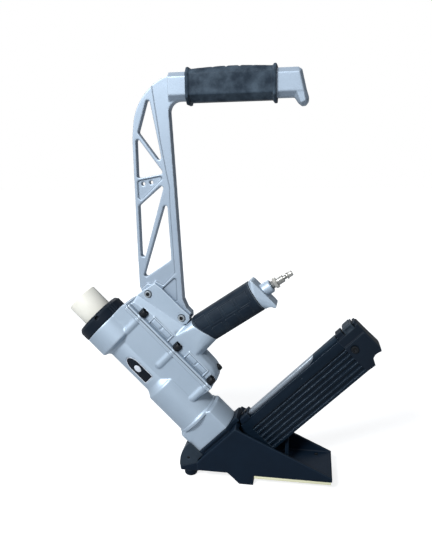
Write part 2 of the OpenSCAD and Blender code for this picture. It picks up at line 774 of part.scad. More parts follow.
// Air inlet at the end of the grip
cap_in = 1 + gasket_t;
inlet_r = 11;
boss_r_in = 9.5;
boss_end = 27;
thread_end = 11;
module inlet_gasket() {
    color("#6b5a44") drive() grip_frame() difference() {
        oval_prism(core_h, core_w, 1, cap_in);
        rotate([0, 90, 0]) cylinder(r = inlet_r, h = 10);
    }
}
module inlet_cap() {
    color(SILVER) drive() grip_frame() difference() {
        union() {
            hull() {
                oval_prism(grip_h - skin, grip_w - skin, cap_in, cap_in + 1.2);
                slab(30) polygon([[8.5, 22.5], [10.5, 19.5], [18.6, -21], [19, -25], [17, -27.5],
                    [14.5, -26.5]]);
            }
            rotate([0, 90, 0]) translate([0, 0, 8]) cylinder(r = boss_r_in, h = boss_end - 9.5);
            rotate([0, 90, 0]) translate([0, 0, boss_end - 1.5 - eps])
                cylinder(r1 = boss_r_in, r2 = boss_r_in - 1.5, h = 1.5);
            rotate([0, 90, 0]) translate([0, 0, cap_in - 10]) cylinder(r = inlet_r, h = 11);
        }
        rod_y([7.5, -29.5], 8, -30, 60);
        rotate([0, 90, 0]) translate([0, 0, cap_in - 11]) cylinder(r = inlet_r - 2, h = 14);
        rotate([0, 90, 0]) cylinder(r = 5.5, h = 60);
    }
}
module inlet_filter() {
    color(BRASS) drive() grip_frame() rotate([0, 90, 0]) translate([0, 0, cap_in - 22]) difference() {
        union() {
            cylinder(r = inlet_r - 2.4, h = 12 + eps);
            translate([0, 0, 12]) cylinder(r = inlet_r - 2, h = 10);
        }
        translate([0, 0, 2]) cylinder(r = inlet_r - 4.4, h = 30);
    }
}
module air_plug() {
    hex_x = boss_end + 4.5;
    body_x = hex_x + 4.5;
    neck_x = body_x + 10;
    nose_x = neck_x + 7.5;
    color(STEEL) drive() grip_frame() rotate([0, 90, 0]) difference() {
        union() {
            translate([0, 0, boss_end - thread_end]) cylinder(r = 5.5, h = thread_end + 5);
            translate([0, 0, hex_x]) hex(plug_af, 4.5);
            translate([0, 0, body_x - eps]) cylinder(r = 5.3, h = 10);
            translate([0, 0, neck_x - 1]) cylinder(r = 2.9, h = nose_x - neck_x + 2);
            translate([0, 0, nose_x - 1.9]) cylinder(r = 4.9, h = 1.5);
            translate([0, 0, nose_x]) cylinder(r = plug_nose_d / 2, h = plug_nose_len);
        }
        translate([0, 0, boss_end - thread_end - 1]) cylinder(r = 2.1, h = big);
    }
}

// Air drive
piston_v = v_sleeve + loose_gap + bumper_len + stroke + 0.5;
piston_r = bore_d / 2 - run_gap;
module cylinder_sleeve() {
    color(STEEL) drive() difference() {
        tube(sleeve_r, bore_d / 2, v_sleeve, sleeve_len);
        for (a = [0:60:300]) rotate([0, 0, a]) translate([0, 0, v_sleeve + 32]) rotate([0, 90, 0])
            cylinder(r = 1.5, h = sleeve_r + 2);
    }
}
module sleeve_orings() {
    color(RUBBER) drive() for (v = [v_sleeve + 22, v_sleeve_top - 8])
        o_ring(sleeve_r + air_gap / 2, air_gap / 2 - 0.02, v);
}
module piston_bumper() {
    color("#2c2f36") drive() rotate_extrude() polygon([
        [9, v_sleeve + loose_gap], [bore_d / 2 - 0.1, v_sleeve + loose_gap],
        [bore_d / 2 - 0.1, v_sleeve + loose_gap + bumper_len - 5],
        [bore_d / 2 - 2.5, v_sleeve + loose_gap + bumper_len], [9, v_sleeve + loose_gap + bumper_len]]);
}
piston_stub = 8;
module piston() {
    color("#c3c6c9") drive() difference() {
        rotate_extrude() polygon([
            [0, piston_v - piston_stub], [8, piston_v - piston_stub], [8, piston_v],
            [piston_r, piston_v], [piston_r, piston_v + 8],
            [piston_r - 2, piston_v + 8], [piston_r - 2, piston_v + 11], [piston_r, piston_v + 11],
            [piston_r, piston_v + piston_len],
            [piston_r - 4, piston_v + piston_len], [piston_r - 4, piston_v + piston_len - 5],
            [0, piston_v + piston_len - 5]]);
        box([-blade_t / 2, -blade_w / 2, 0], [blade_t / 2, blade_w / 2, piston_v - 2]);
    }
}
module piston_ring() {
    color(RUBBER) drive() tube(piston_r, piston_r - 1.9, piston_v + 8.1, 2.8);
}
module driver_blade() {
    tip = piston_v - (piston_v - nose_len) - 5.3;
    color(STEEL) drive() box([-blade_t / 2, -blade_w / 2, tip], [blade_t / 2, blade_w / 2, piston_v - 2]);
}
v_valve = v_sleeve_top + loose_gap;
valve_t = 12;
valve_r = chamber_r - run_gap;
module head_valve() {
    color("#d8d4c8") drive() difference() {
        translate([0, 0, v_valve]) cylinder(r = valve_r, h = valve_t);
        translate([0, 0, v_valve - 1]) cylinder(r = stem_d / 2 + run_gap, h = valve_t + 2);
        translate([0, 0, v_valve + 4]) difference() {
            cylinder(r = valve_r - 3, h = valve_t);
            translate([0, 0, -1]) cylinder(r = stem_d / 2 + 3, h = valve_t + 2);
        }
    }
}
v_spigot = v_valve + valve_t + valve_lift + 30;
module valve_spring() {
    color(STEEL) drive() tube(valve_r - 4, valve_r - 7, v_valve + 4 + eps,
        v_spigot - v_valve - 4 - 2 * eps);
}
v_floor = v_thread + 3;
floor_h = 9;
cap_hole_r = ram_d / 2 + 0.4;
module head_cap() {
    spigot_r = chamber_r - 0.1;
    color(BLACK) drive() difference() {
        rotate_extrude() polygon([
            [stem_d / 2 + run_gap, v_floor], [spigot_r - 5.5, v_floor], [spigot_r - 5.5, v_spigot],
            [spigot_r, v_spigot],
            [spigot_r, v_thread + 0.2], [thread_r - 0.1, v_thread + 0.2], [thread_r - 0.1, v_head],
            [head_cap_r, v_head],
            [head_cap_r, v_cap - 4.5], [head_cap_r - 3.5, v_cap], [cap_hole_r, v_cap],
            [cap_hole_r, v_floor + floor_h],
            [stem_d / 2 + run_gap, v_floor + floor_h]]);
        // Spanner notch and grip grooves
        for (a = [-72, 108]) rotate([0, 0, a]) box([head_cap_r - 5, -3, v_cap - 8],
            [head_cap_r + 5, 3, v_cap - 3]);
        for (a = [-38, -31, -24, 142, 149, 156]) rotate([0, 0, a])
            box([head_cap_r - 1.2, -1, v_head + 2], [head_cap_r + 5, 1, v_cap + 1]);
    }
}
module head_seal() {
    color(RUBBER) drive() tube(thread_r - 0.2, chamber_r + 0.2, v_thread, 0.2);
}
ram_low = v_floor + floor_h + ram_travel + 1;
ram_top = v_cap + ram_h;
ram_wall = 15;
module ram_cap() {
    color(WHITE) drive() difference() {
        union() {
            translate([0, 0, ram_low]) cylinder(r = ram_d / 2, h = ram_top - ram_low - 1);
            translate([0, 0, ram_top - 1 - eps]) cylinder(r1 = ram_d / 2, r2 = ram_d / 2 - 1, h = 1);
        }
        translate([0, 0, ram_low - 1]) cylinder(r = 16, h = ram_top - ram_low - ram_wall + 1);
        translate([0, 0, ram_low]) cylinder(r = stem_d / 2, h = ram_top - ram_low - 8);
    }
}
module ram_stem() {
    color(STEEL) drive() translate([0, 0, v_valve + valve_t + ram_travel + 2])
        cylinder(r = stem_d / 2, h = ram_top - 8 - v_valve - valve_t - ram_travel - 2);
}
module ram_spring() {
    color(STEEL) drive() tube(14.5, 11.5, v_floor + floor_h + eps,
        ram_top - ram_wall - v_floor - floor_h - 2 * eps);
}

// Arm, drawn in X and Z from the front arm bolt
foot_p = at(ear_bolt[0][0], ear_bolt[0][1]);
arm_left = -14.5;
arm_arc_r = 73.5;
bar_top = bar_rise;
bar_low = bar_rise - bar_h;
bevel = 6.5;
strut_r = 3;
windows = [
    [[8.5, 274], [-8, 223], [26, 177]],
    [[-11.5, 220], [27, 167.5], [-11.5, 161.5]],
    [[28, 157], [-11.3, 124], [-10.8, 52], [-4.5, 52]],
    [[29.5, 138], [33.3, 48.5], [-9.8, 19]]
];
plate_recess = [[-11.4, 158.5], [25, 165.5], [24, 160.5], [-7, 131.5], [-11.2, 135]];
gusset = [[40.5, 26], [18, 5.5], [41, -16]];
module arm_here() {
    translate([foot_p[0], 0, foot_p[1]]) children();
}
module arm_outline() {
    polygon(concat(
        [[arm_left + 7.7, -3.6], [arm_left + 4, 2], [arm_left, 8], [arm_left - 0.8, 60]],
        [[arm_left - 1.5, bar_top - arm_arc_r - 10]],
        arc([arm_left + arm_arc_r, bar_top - arm_arc_r], arm_arc_r, 175, 90, 16),
        [[arm_left + arm_arc_r + 6, bar_top], [arm_left + arm_arc_r + 6, bar_low],
        [arm_left + 65.5, bar_low]],
        arc([arm_left + 65.5, bar_low - 14], 14, 90, 180, 6),
        [[arm_left + 63.5, -8], [arm_left + 68, -19], [arm_left + 72, -31], [30, -12], [8, 4]]));
}
// Thick band along the rear edge of the arm
module band_outline() {
    polygon([
        [11.5, bar_top + 10], [24, 212], [32, 165], [35, 150], [34.8, 121], [39, 30], [18, 8.5],
        [-2, 14], [-30, -10],
        [20, -40], [arm_left + 90, -40], [arm_left + 90, bar_top + 10]]);
}
module arm_window(points) {
    offset(r = strut_r) offset(delta = -strut_r) polygon(points);
}
module bar_section() {
    w = bar_w / 2;
    h = bar_h / 2;
    polygon([
        [-w + bevel, -h], [w - bevel, -h], [w, -h + bevel], [w, h - bevel],
        [w - bevel, h], [-w + bevel, h], [-w, h - bevel], [-w, -h + bevel]]);
}
// Prism along X of a section that is centred on the hand bar
module bar_prism(x0, x1) {
    translate([x0, 0, bar_top - bar_h / 2]) rotate([90, 0, 90]) linear_extrude(x1 - x0) children();
}
bar_start = arm_left + 52.5;
// Points of the hook, from the rear top corner of the hand bar
function hook(points) = [for (p = points) [bar_reach, bar_top] + p];
// Hand bar with its slanted end, and the tip of the hook below it
module hand_bar() {
    face = bar_w;
    edge = bar_w - 2 * bevel;
    back = bar_start - bar_reach;
    sunk = 0.3;
    hull() {
        slab(face) polygon(hook([[back, -bevel], [-0.5, -bevel], [5, bevel - bar_h],
            [-6, bevel - bar_h], [back, bevel - bar_h]]));
        slab(edge) polygon(hook([[back, 0], [-2.5, 0], [2.5, -3], [8.5, -28], [-5, -bar_h],
            [back, -bar_h]]));
    }
    hull() {
        slab(face - 2 * sunk) polygon(hook([[-8, -20], [3, -20], [7.5, -41.5], [2, -44]]));
        slab(edge - 2 * sunk) polygon(hook([[-8.5, -34], [8.2, -27], [11.4, -37], [11, -42],
            [7.5, -46.5], [2.5, -47], [-2.5, -43]]));
    }
}
module arm_frame() {
    color(SILVER) difference() {
        union() {
            arm_here() {
                slab(web_t) difference() {
                    arm_outline();
                    for (w = windows) arm_window(w);
                }
                slab(arm_t) intersection() {
                    arm_outline();
                    band_outline();
                }
                hand_bar();
                slab(arm_t) polygon([for (p = foot_corners) at(p[0], p[1]) - foot_p]);
            }
        }
        arm_here() {
            both_sides() slab_at(-web_t / 2 - 1, 3) arm_window(plate_recess);
            both_sides() slab_at(-arm_t / 2 - 1, 3) arm_window(gusset);
            for (p = [[-3.5, 154], [8, 156]]) rod_y(p, 2.65, -big, 2 * big);
        }
        drive() for (p = ear_bolt) rod_y(p, arm_bolt_d / 2, -big, 2 * big);
    }
}
module arm_bolts() {
    color(STEEL) drive() for (p = ear_bolt) difference() {
        union() {
            rod_y(p, arm_bolt_d / 2 - run_gap, -ear_out + arm_well - 0.2, 2 * ear_out - 3);
            rod_y(p, arm_bolt_d * 0.8, -ear_out - 2, arm_well + 2);
        }
        translate([p[0], -ear_out - 2.2, p[1]]) rotate([-90, 0, 0]) hex(5, 3);
    }
}
module arm_nuts() {
    color(STEEL) drive() for (p = ear_bolt) difference() {
        translate([p[0], ear_out - arm_well, p[1]]) rotate([-90, 0, 0])
            hex((arm_well_r - run_gap) * sqrt(3), arm_well + 2);
        rod_y(p, arm_bolt_d / 2, 0, big);
    }
}
top_grip_x = 66.5;
lip = 4.5;
module top_grip() {
    x0 = top_grip_x;
    x1 = x0 + top_grip_len;
    top = bar_top + top_grip_t;
    crown = 2.6;
    color(RUBBER) arm_here() difference() {
        union() {
            intersection() {
                bar_prism(x0, x1) rubber_section(3, top_grip_t + crown, top_grip_t);
                slab(big) polygon(concat(
                    [[x0, 0], [x0, top]],
                    [for (i = [1:7]) [x0 + (x1 - x0) * i / 8, top + crown * sin(180 * i / 8)]],
                    [[x1, top], [x1, 0]]));
            }
            for (x = [x0 - lip, x1]) bar_prism(x, x + lip) rubber_section(4.8, top_grip_t + 3,
                top_grip_t + 3.5);
        }
        bar_prism(x0 - 20, x1 + 20) bar_section();
        // Finger notches along the top
        for (i = [1:4]) slab(big) translate([x0 + (x1 - x0) * (0.18 + 0.16 * i) - 6, top + crown + 0.6])
            circle(r = 2);
    }
}
// Section of the rubber, w wider than the bar on each side
module rubber_section(w, up, down) {
    a = bar_w / 2 + w;
    h = bar_h / 2;
    soft = bevel + 2;
    offset(r = 2) offset(delta = -2) polygon([
        [-a + soft + 1, -h - down], [a - soft - 1, -h - down], [a, -h - down + soft], [a, h + up - soft],
        [a - soft, h + up], [-a + soft, h + up], [-a, h + up - soft], [-a, -h - down + soft]]);
}

// Magazine
mag_top = mag_v + mag_h;
mag_in = track_w / 2 + 2.5;
rib_t = 2.2;
rib_pitch = 7.5;
rib_first = mag_v + 9.6;
rib_count = 5;
rib_depth = mag_w / 2 - mag_in - mag_skin;
lip_t = 3.6;
slot_half = 3.2;
pusher_u = mag_end - 24;
pusher_len = 17;
tab_v = mag_v + 32.5;
tab_h = 5;
tab_len = 11;
module mag_side() {
    difference() {
        union() {
            box([mag_front_u, -mag_w / 2, mag_v], [mag_end, -mag_in, mag_top]);
            box([mag_front_u, -mag_in - eps, mag_v], [mag_end, 0, mag_v + 2.5]);
            box([mag_front_u, -mag_in - eps, mag_top - lip_t], [mag_end, -slot_half, mag_top]);
        }
        for (i = [0:rib_count]) {
            low = i == 0 ? mag_v + 3.5 : rib_first + (i - 1) * rib_pitch + rib_t / 2;
            high = i == rib_count ? rib_first + (rib_count - 1) * rib_pitch + rib_t / 2 + 3.4
                : rib_first + i * rib_pitch - rib_t / 2;
            box([flange_back + 4, -mag_w / 2 - 1, low], [mag_end + 1, -mag_w / 2 + rib_depth, high]);
        }
    }
}
module magazine_near_side() {
    color(BLACK) drive() difference() {
        mag_side();
        translate([mag_end - 74, -mag_w / 2 - 1, mag_top - 6]) box([0, 0, 0], [1.6, 3, 3.2]);
    }
}
module magazine_far_side() {
    color(BLACK) drive() difference() {
        mirror([0, 1, 0]) mag_side();
        box([pusher_u + 2 - pusher_travel, mag_in - 2, tab_v - 0.5],
            [pusher_u + 3 + tab_len + 1, mag_w, tab_v + tab_h + 0.5]);
    }
}
track_top = mag_top - lip_t - 4.6;
module magazine_track() {
    color(STEEL) drive() difference() {
        box([mag_front_u, -track_w / 2, mag_v + 2.5], [mag_end, track_w / 2, track_top]);
        box([mag_front_u - 1, -track_w / 2 + 1.5, mag_v], [mag_end + 1, track_w / 2 - 1.5,
            track_top - 1.5]);
    }
}
rail_h = 5.8;
rail_w = 12;
rail_end = mag_end - 42;
rail_start = wall_peak_u + 19;
bracket_screw_u = [flange_back + 3.5, flange_back + 10.5];
bracket_h = mag_drop - 0.8;
module rail_shape(u0, u1) {
    skin_t = 1.5;
    difference() {
        box([u0, -rail_w / 2, mag_top], [u1, rail_w / 2, mag_top + rail_h]);
        box([u0 - 1, -rail_w / 2 + skin_t, mag_top - 1], [u1 + 1, rail_w / 2 - skin_t,
            mag_top + rail_h - skin_t]);
    }
}
// Outline of the bright rail, with its lower corners swept up
module rail_outline() {
    polygon([
        [rail_start, mag_top + 3], [rail_start + 2, mag_top + 1], [rail_start + 7, mag_top],
        [rail_end - 12, mag_top],
        [rail_end - 5, mag_top + 1.4], [rail_end - 1.5, mag_top + 3.4], [rail_end, mag_top + 5],
        [rail_end, mag_top + rail_h + 1], [rail_start, mag_top + rail_h + 1]]);
}
module top_rail() {
    color(STEEL) drive() intersection() {
        rail_shape(rail_start, rail_end);
        slab(mag_w) rail_outline();
    }
}
module rail_cover() {
    color(BLACK) drive() difference() {
        rail_shape(rail_start, mag_end);
        slab(mag_w) rail_outline();
    }
}
module magazine_bracket() {
    color("#3a4046") drive() difference() {
        box([flange_back - 3, -13, mag_top], [rail_start, 13, mag_top + bracket_h]);
        for (u = bracket_screw_u) translate([u, 0, mag_top - 1]) cylinder(r = 2.1, h = bracket_h + 4);
    }
}
module bracket_screws() {
    color("#1a1c20") drive() for (u = bracket_screw_u) translate([u, 0, mag_top]) {
        cylinder(r = 2.1, h = bracket_h + 0.2);
        translate([0, 0, bracket_h]) cylinder(r = 2.8, h = 2);
    }
}

// End cap, drawn in u and v from the rear end of the magazine
cap_bolt = [9.4, 35];
cap_bolt_r = 3;
latch_u = 14.5;
latch_len = 15;
latch_h = 15;
latch_w = 24;
module end_cap_outline() {
    polygon([
        [0, 1], [14, 0], [15.8, 5.4], [17.4, 8], [19.8, 9.8], [23, 11], [26.3, 11.2], [30, 10.6],
        [cap_len - 3, 9.4],
        [cap_len - 1.2, 12.5], [cap_len - 0.4, 16], [cap_len - 1.2, 43], [cap_len - 3, 45], [0, 44.5]]);
}
module magazine_end_cap() {
    color(BLACK) drive() translate([mag_end, 0, mag_v]) difference() {
        union() {
            slab(cap_w) end_cap_outline();
            box([0, -mag_w / 2 - 0.8, 44], [cap_len - 4, mag_w / 2 + 0.8, mag_h]);
            box([2, -9, mag_h - 1], [12, 9, mag_h + 8]);
            box([cap_len - 5.5, -mag_w / 2 - 0.8, 30], [cap_len - 0.8, mag_w / 2 + 0.8, mag_h + 2]);
            box([cap_len - 5.5, -9, 30], [cap_len - 1.6, 9, mag_h + 6]);
        }
        box([-1, -cap_w / 2 + 2.5, 4], [cap_len - 4, cap_w / 2 - 2.5, mag_h - 10]);
        box([-1, -9, mag_h - 12], [latch_u - 4, 9, mag_h - 2]);
        box([latch_u - 0.4, -latch_w / 2 - 0.4, mag_h - 8], [latch_u + latch_len + 0.4,
            latch_w / 2 + 0.4, mag_h + 20]);
        rod_y(cap_bolt, cap_bolt_r, -big, 2 * big);
        rod_y(cap_bolt, 5.4, -cap_w / 2 - 1, 2.5);
    }
}
module end_cap_bolt() {
    color("#2a2d31") drive() translate([mag_end, 0, mag_v]) difference() {
        union() {
            rod_y(cap_bolt, cap_bolt_r, -cap_w / 2 + 1, cap_w - 2);
            rod_y(cap_bolt, 5, -cap_w / 2 - 2, 3.4);
        }
        translate([cap_bolt[0], -cap_w / 2 - 2.2, cap_bolt[1]]) rotate([-90, 0, 0]) hex(5, 3);
    }
}
module latch_button() {
    color("#3a4046") drive() translate([mag_end + latch_u, 0, mag_v + mag_h - 4.4]) difference() {
        union() {
            box([0, -latch_w / 2, 0], [latch_len, latch_w / 2, latch_h - 3]);
            box([2, -latch_w / 2 + 2, latch_h - 3 - eps], [latch_len - 2, latch_w / 2 - 2,
                latch_h - 1.5]);
        }
        both_sides() box([3, -latch_w / 2 - 1, 5], [latch_len - 3, -latch_w / 2 + 1.2, latch_h - 5]);
    }
}
module latch_spring() {
    color(STEEL) drive() translate([mag_end + latch_u + latch_len / 2, 0, mag_v + mag_h - 8 + eps])
        tube(4, 3, 0, 3.6 - 2 * eps);
}
module pusher() {
    g = loose_gap;
    leg_in = track_w / 2 + g;
    leg_out = mag_in - g;
    color(STEEL) drive() {
        box([pusher_u, -leg_out, track_top + g], [pusher_u + pusher_len, leg_out, mag_top - lip_t - g]);
        both_sides() box([pusher_u, -leg_out, mag_v + 14], [pusher_u + pusher_len, -leg_in,
            track_top + g + eps]);
        box([pusher_u + 3, leg_out - eps, tab_v], [pusher_u + 3 + tab_len, mag_w / 2 + 6, tab_v + tab_h]);
        box([pusher_u + 3, mag_w / 2 + 1, tab_v - 4], [pusher_u + 3 + tab_len, mag_w / 2 + 6,
            tab_v + tab_h + 4]);
    }
}
module pusher_spring() {
    color(STEEL) drive() translate([mag_end + cap_bolt[0], 4, mag_v + cap_bolt[1]]) rotate([90, 0, 0])
        tube(7, cap_bolt_r + 0.05, 0, 8);
}

shoe();
base_pad();
pad_screws();
foot_bumpers();
front_guard();
guard_pin();
nose_flange();
nose_screws();
driver_guide_front();
driver_guide_rear();
cylinder_housing();
housing_gasket();
housing_bolts();
handle_housing();
housing_plug();
rear_grip();
inlet_gasket();
inlet_cap();
inlet_filter();
air_plug();
nameplate();
nameplate_badge();
cylinder_sleeve();
sleeve_orings();
piston_bumper();
piston();
piston_ring();
driver_blade();
head_valve();
valve_spring();
head_cap();
head_seal();
ram_cap();
ram_stem();
ram_spring();
arm_frame();
arm_bolts();
arm_nuts();
top_grip();
magazine_near_side();
magazine_far_side();
magazine_track();
top_rail();
rail_cover();
magazine_bracket();
bracket_screws();
magazine_end_cap();
end_cap_bolt();
pusher();
pusher_spring();
latch_button();
latch_spring();
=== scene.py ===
"""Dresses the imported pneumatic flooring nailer.

Castings, grips, magazine and bolts get the edges and the finishes of the real ones, and a studio
with a pale floor lights them from the photograph's side.
"""
import json
import logging
import math
from dataclasses import dataclass, field
from enum import Enum
from typing import Any, Callable, Iterable, Sequence

import bmesh
import bpy
from mathutils import Matrix, Vector

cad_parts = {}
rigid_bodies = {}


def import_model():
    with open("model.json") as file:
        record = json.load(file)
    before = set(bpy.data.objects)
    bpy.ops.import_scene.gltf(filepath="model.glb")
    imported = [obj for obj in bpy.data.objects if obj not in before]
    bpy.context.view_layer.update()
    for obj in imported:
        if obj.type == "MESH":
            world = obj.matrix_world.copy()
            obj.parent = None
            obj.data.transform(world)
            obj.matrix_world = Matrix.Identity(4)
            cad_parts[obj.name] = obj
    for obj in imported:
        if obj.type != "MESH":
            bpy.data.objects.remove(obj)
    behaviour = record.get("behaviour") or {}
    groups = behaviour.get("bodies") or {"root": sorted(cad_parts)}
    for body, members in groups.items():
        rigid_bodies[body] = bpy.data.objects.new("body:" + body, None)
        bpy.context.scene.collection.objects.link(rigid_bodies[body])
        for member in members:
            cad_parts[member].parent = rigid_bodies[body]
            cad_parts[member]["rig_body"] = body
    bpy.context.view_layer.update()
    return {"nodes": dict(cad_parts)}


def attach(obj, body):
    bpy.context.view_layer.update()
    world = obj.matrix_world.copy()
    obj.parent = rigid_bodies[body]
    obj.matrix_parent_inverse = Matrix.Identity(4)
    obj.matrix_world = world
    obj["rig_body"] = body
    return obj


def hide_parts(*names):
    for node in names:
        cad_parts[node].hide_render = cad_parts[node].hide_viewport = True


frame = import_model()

LOG = logging.getLogger("nailer")
Socket = bpy.types.NodeSocket
Span = tuple[float, float]
MM = 0.001
MICROMETRE = 1e-6
# Corners of the CAD mesh that lie closer than this are one corner
WELD = 0.002 * MM
# The drive axis starts this far behind the origin, in millimetres, and leans by 45 degrees
HEEL_X = 10.0
LEAN = math.sqrt(0.5)
# Pointiness of a surface, 0.5 where it is flat: where the painted shade with grime in hollows starts and is
# full, and the same for the wear with painted highlight on edges
GRIME_AND_SHADE_POINTINESS = (0.496, 0.456)
WEAR_AND_HIGHLIGHT_POINTINESS = (0.515, 0.58)
# Colour of the painted shade with grime in a hollow place, as a share of the finish's darker colour
GRIME_AND_SHADE_TONE = 0.35
# Parts of the noise's range that count for colour patches and for the grain
PATCH_SPAN = (0.35, 0.7)
GRAIN_SPAN = (0.3, 0.7)
LEAST_ROUGHNESS = 0.02
# Colour sockets of Blender's mix node, which has others under the same names: both inputs and the output
MIX_INPUTS = (6, 7)
MIX_OUTPUT = 2
WHITE = (1.0, 1.0, 1.0, 1.0)


class Edge(Enum):
    """How the edges of a piece were made, which says how a copy of its solid is softened."""

    CAST = "cast"
    MACHINED = "machined"


def linear(hex_colour: str) -> tuple[float, float, float, float]:
    """Turns an sRGB hex colour into linear RGBA.

    Args:
        hex_colour: Colour such as "#aeb9c4".

    Returns:
        Four linear channels, alpha 1.
    """
    channels = []
    for i in (1, 3, 5):
        value = int(hex_colour[i:i + 2], 16) / 255
        channels.append(value / 12.92 if value <= 0.04045 else ((value + 0.055) / 1.055) ** 2.4)
    return (channels[0], channels[1], channels[2], 1.0)


def along_drive(point: Vector) -> Span:
    """Finds where a point lies in the tilted frame of the drive axis.

    Args:
        point: Point in metres.

    Returns:
        Its place across and along the drive axis, in millimetres.
    """
    x, z = point.x / MM - HEEL_X, point.z / MM
    return ((z + x) * LEAN, (z - x) * LEAN)


def ramp(value: float, low: float, high: float) -> float:
    """Finds how far a value has come between two others.

    Args:
        value: Value to place.
        low: Where the share is 0.
        high: Where the share is 1.

    Returns:
        The share, held at 0 and 1.
    """
    return min(1.0, max(0.0, (value - low) / (high - low)))


def add_node(
    tree: bpy.types.NodeTree,
    kind: str,
    settings: dict[str, Any] | None = None,
    links: dict[int | str, Socket] | None = None,
    values: dict[int | str, Any] | None = None,
) -> bpy.types.Node:
    """Adds a node with its settings, input values and links.

    Args:
        tree: Node tree that takes the node.
        kind: Blender's name of the node type.
        settings: Attributes of the node.
        links: Input socket, by name or index, and the output that feeds it.
        values: Input socket, by name or index, and its constant.

    Returns:
        The new node.
    """
    node = tree.nodes.new(kind)
    for name, value in (settings or {}).items():
        setattr(node, name, value)
    for key, value in (values or {}).items():
        node.inputs[key].default_value = value
    for key, source in (links or {}).items():
        tree.links.new(source, node.inputs[key])
    return node


def remap(tree: bpy.types.NodeTree, value: Socket, start: Span, end: Span, shape: str = "LINEAR") -> Socket:
    """Maps a value from one range to another and holds it at the ends.

    Args:
        tree: Node tree that takes the node.
        value: Output to map.
        start: Range that it comes from.
        end: Range that it goes to.
        shape: Blender's name of the curve between the ends.

    Returns:
        The mapped output.
    """
    names = ("From Min", "From Max", "To Min", "To Max")
    return add_node(
        tree, "ShaderNodeMapRange", {"interpolation_type": shape}, {"Value": value},
        dict(zip(names, (*start, *end)))).outputs["Result"]


def noise(tree: bpy.types.NodeTree, place: Socket, size_mm: float, detail: float, roughness: float) -> Socket:
    """Adds a cloudy noise in object coordinates.

    Args:
        tree: Node tree that takes the node.
        place: Output with the coordinates.
        size_mm: Size of its clouds in millimetres.
        detail: Number of finer layers.
        roughness: Weight of the finer layers.

    Returns:
        The noise's output.
    """
    return add_node(
        tree, "ShaderNodeTexNoise", links={"Vector": place},
        values={"Scale": 1.0 / (size_mm * MM), "Detail": detail, "Roughness": roughness}).outputs["Fac"]


@dataclass(frozen=True)
class Finish:
    """A surface, from what it is made of and how it was made.

    Attributes:
        name: Name of the material.
        base: Main colour.
        shade: Colour of the darker patches.
        edge: Colour of the edges, worn and with painted highlight.
        metallic: Metallic share of the shader.
        roughness: Mean roughness.
        rough_swing: How far the roughness varies.
        specular: Specular level of the shader.
        patch_mm: Size of the colour patches.
        patch_share: How strongly the patches show.
        grain_mm: Size of the surface grain.
        grain_um: Depth of the grain in micrometres.
        edge_wear_and_highlight: How strongly the edges show their own colour, a painted highlight with wear.
        grime_and_crease_shade: How strongly hollow places darken, a painted shade with grime.
        sheen: Sheen of the shader.
    """

    name: str
    base: str
    shade: str
    edge: str
    metallic: float = 0.0
    roughness: float = 0.5
    rough_swing: float = 0.06
    specular: float = 0.5
    patch_mm: float = 35.0
    patch_share: float = 0.5
    grain_mm: float = 1.2
    grain_um: float = 30.0
    edge_wear_and_highlight: float = 0.3
    grime_and_crease_shade: float = 0.3
    sheen: float = 0.0

    def material(self) -> bpy.types.Material:
        """Gets the material, which is made once.

        Returns:
            The material.
        """
        made = bpy.data.materials.get(self.name)
        return made or self._build()

    def _build(self) -> bpy.types.Material:
        """Builds the node tree of the finish.

        Returns:
            The new material.
        """
        material = bpy.data.materials.new(self.name)
        material.use_nodes = True
        tree = material.node_tree
        tree.nodes.clear()
        place = add_node(tree, "ShaderNodeTexCoord").outputs["Object"]
        patches = noise(tree, place, self.patch_mm, detail=4.0, roughness=0.6)
        share = remap(tree, patches, PATCH_SPAN, (0.0, self.patch_share))
        colour = self._mix(tree, share, linear(self.base), linear(self.shade))
        pointed = add_node(tree, "ShaderNodeNewGeometry").outputs["Pointiness"]
        # Painted shade, with grime, darkens the hollows and creases that pointiness finds
        grime_and_shade_share = remap(tree, pointed, GRIME_AND_SHADE_POINTINESS, (0.0, self.grime_and_crease_shade))
        grime_and_shade_colour = tuple(channel * GRIME_AND_SHADE_TONE for channel in linear(self.shade)[:3]) + (1.0,)
        colour = self._mix(tree, grime_and_shade_share, colour, grime_and_shade_colour)
        # Painted highlight, with wear, pales the edges and ridges that pointiness finds
        wear_and_highlight_share = remap(tree, pointed, WEAR_AND_HIGHLIGHT_POINTINESS, (0.0, self.edge_wear_and_highlight))
        colour = self._mix(tree, wear_and_highlight_share, colour, linear(self.edge))
        grain = noise(tree, place, self.grain_mm, detail=3.0, roughness=0.55)
        smoothest = max(LEAST_ROUGHNESS, self.roughness - self.rough_swing)
        roughest = min(1.0, self.roughness + self.rough_swing)
        rough = remap(tree, grain, GRAIN_SPAN, (smoothest, roughest))
        bump = add_node(
            tree, "ShaderNodeBump", links={"Height": grain},
            values={"Strength": 1.0, "Distance": self.grain_um * MICROMETRE}).outputs["Normal"]
        shader = add_node(
            tree, "ShaderNodeBsdfPrincipled",
            links={"Base Color": colour, "Roughness": rough, "Normal": bump},
            values={"Metallic": self.metallic, "Specular IOR Level": self.specular,
                    "Sheen Weight": self.sheen})
        add_node(tree, "ShaderNodeOutputMaterial", links={"Surface": shader.outputs["BSDF"]})
        return material

    @staticmethod
    def _mix(tree: bpy.types.NodeTree, share: Socket, first: Any, second: Any) -> Socket:
        """Mixes two colours.

        Args:
            tree: Node tree of the material.
            share: Output that says how much of the second colour shows.
            first: Colour or output.
            second: Colour or output.

        Returns:
            The mixed colour's output.
        """
        links: dict[int | str, Socket] = {0: share}
        values: dict[int | str, Any] = {}
        for key, colour in zip(MIX_INPUTS, (first, second)):
            target = links if isinstance(colour, Socket) else values
            target[key] = colour
        return add_node(tree, "ShaderNodeMix", {"data_type": "RGBA"}, links, values).outputs[MIX_OUTPUT]


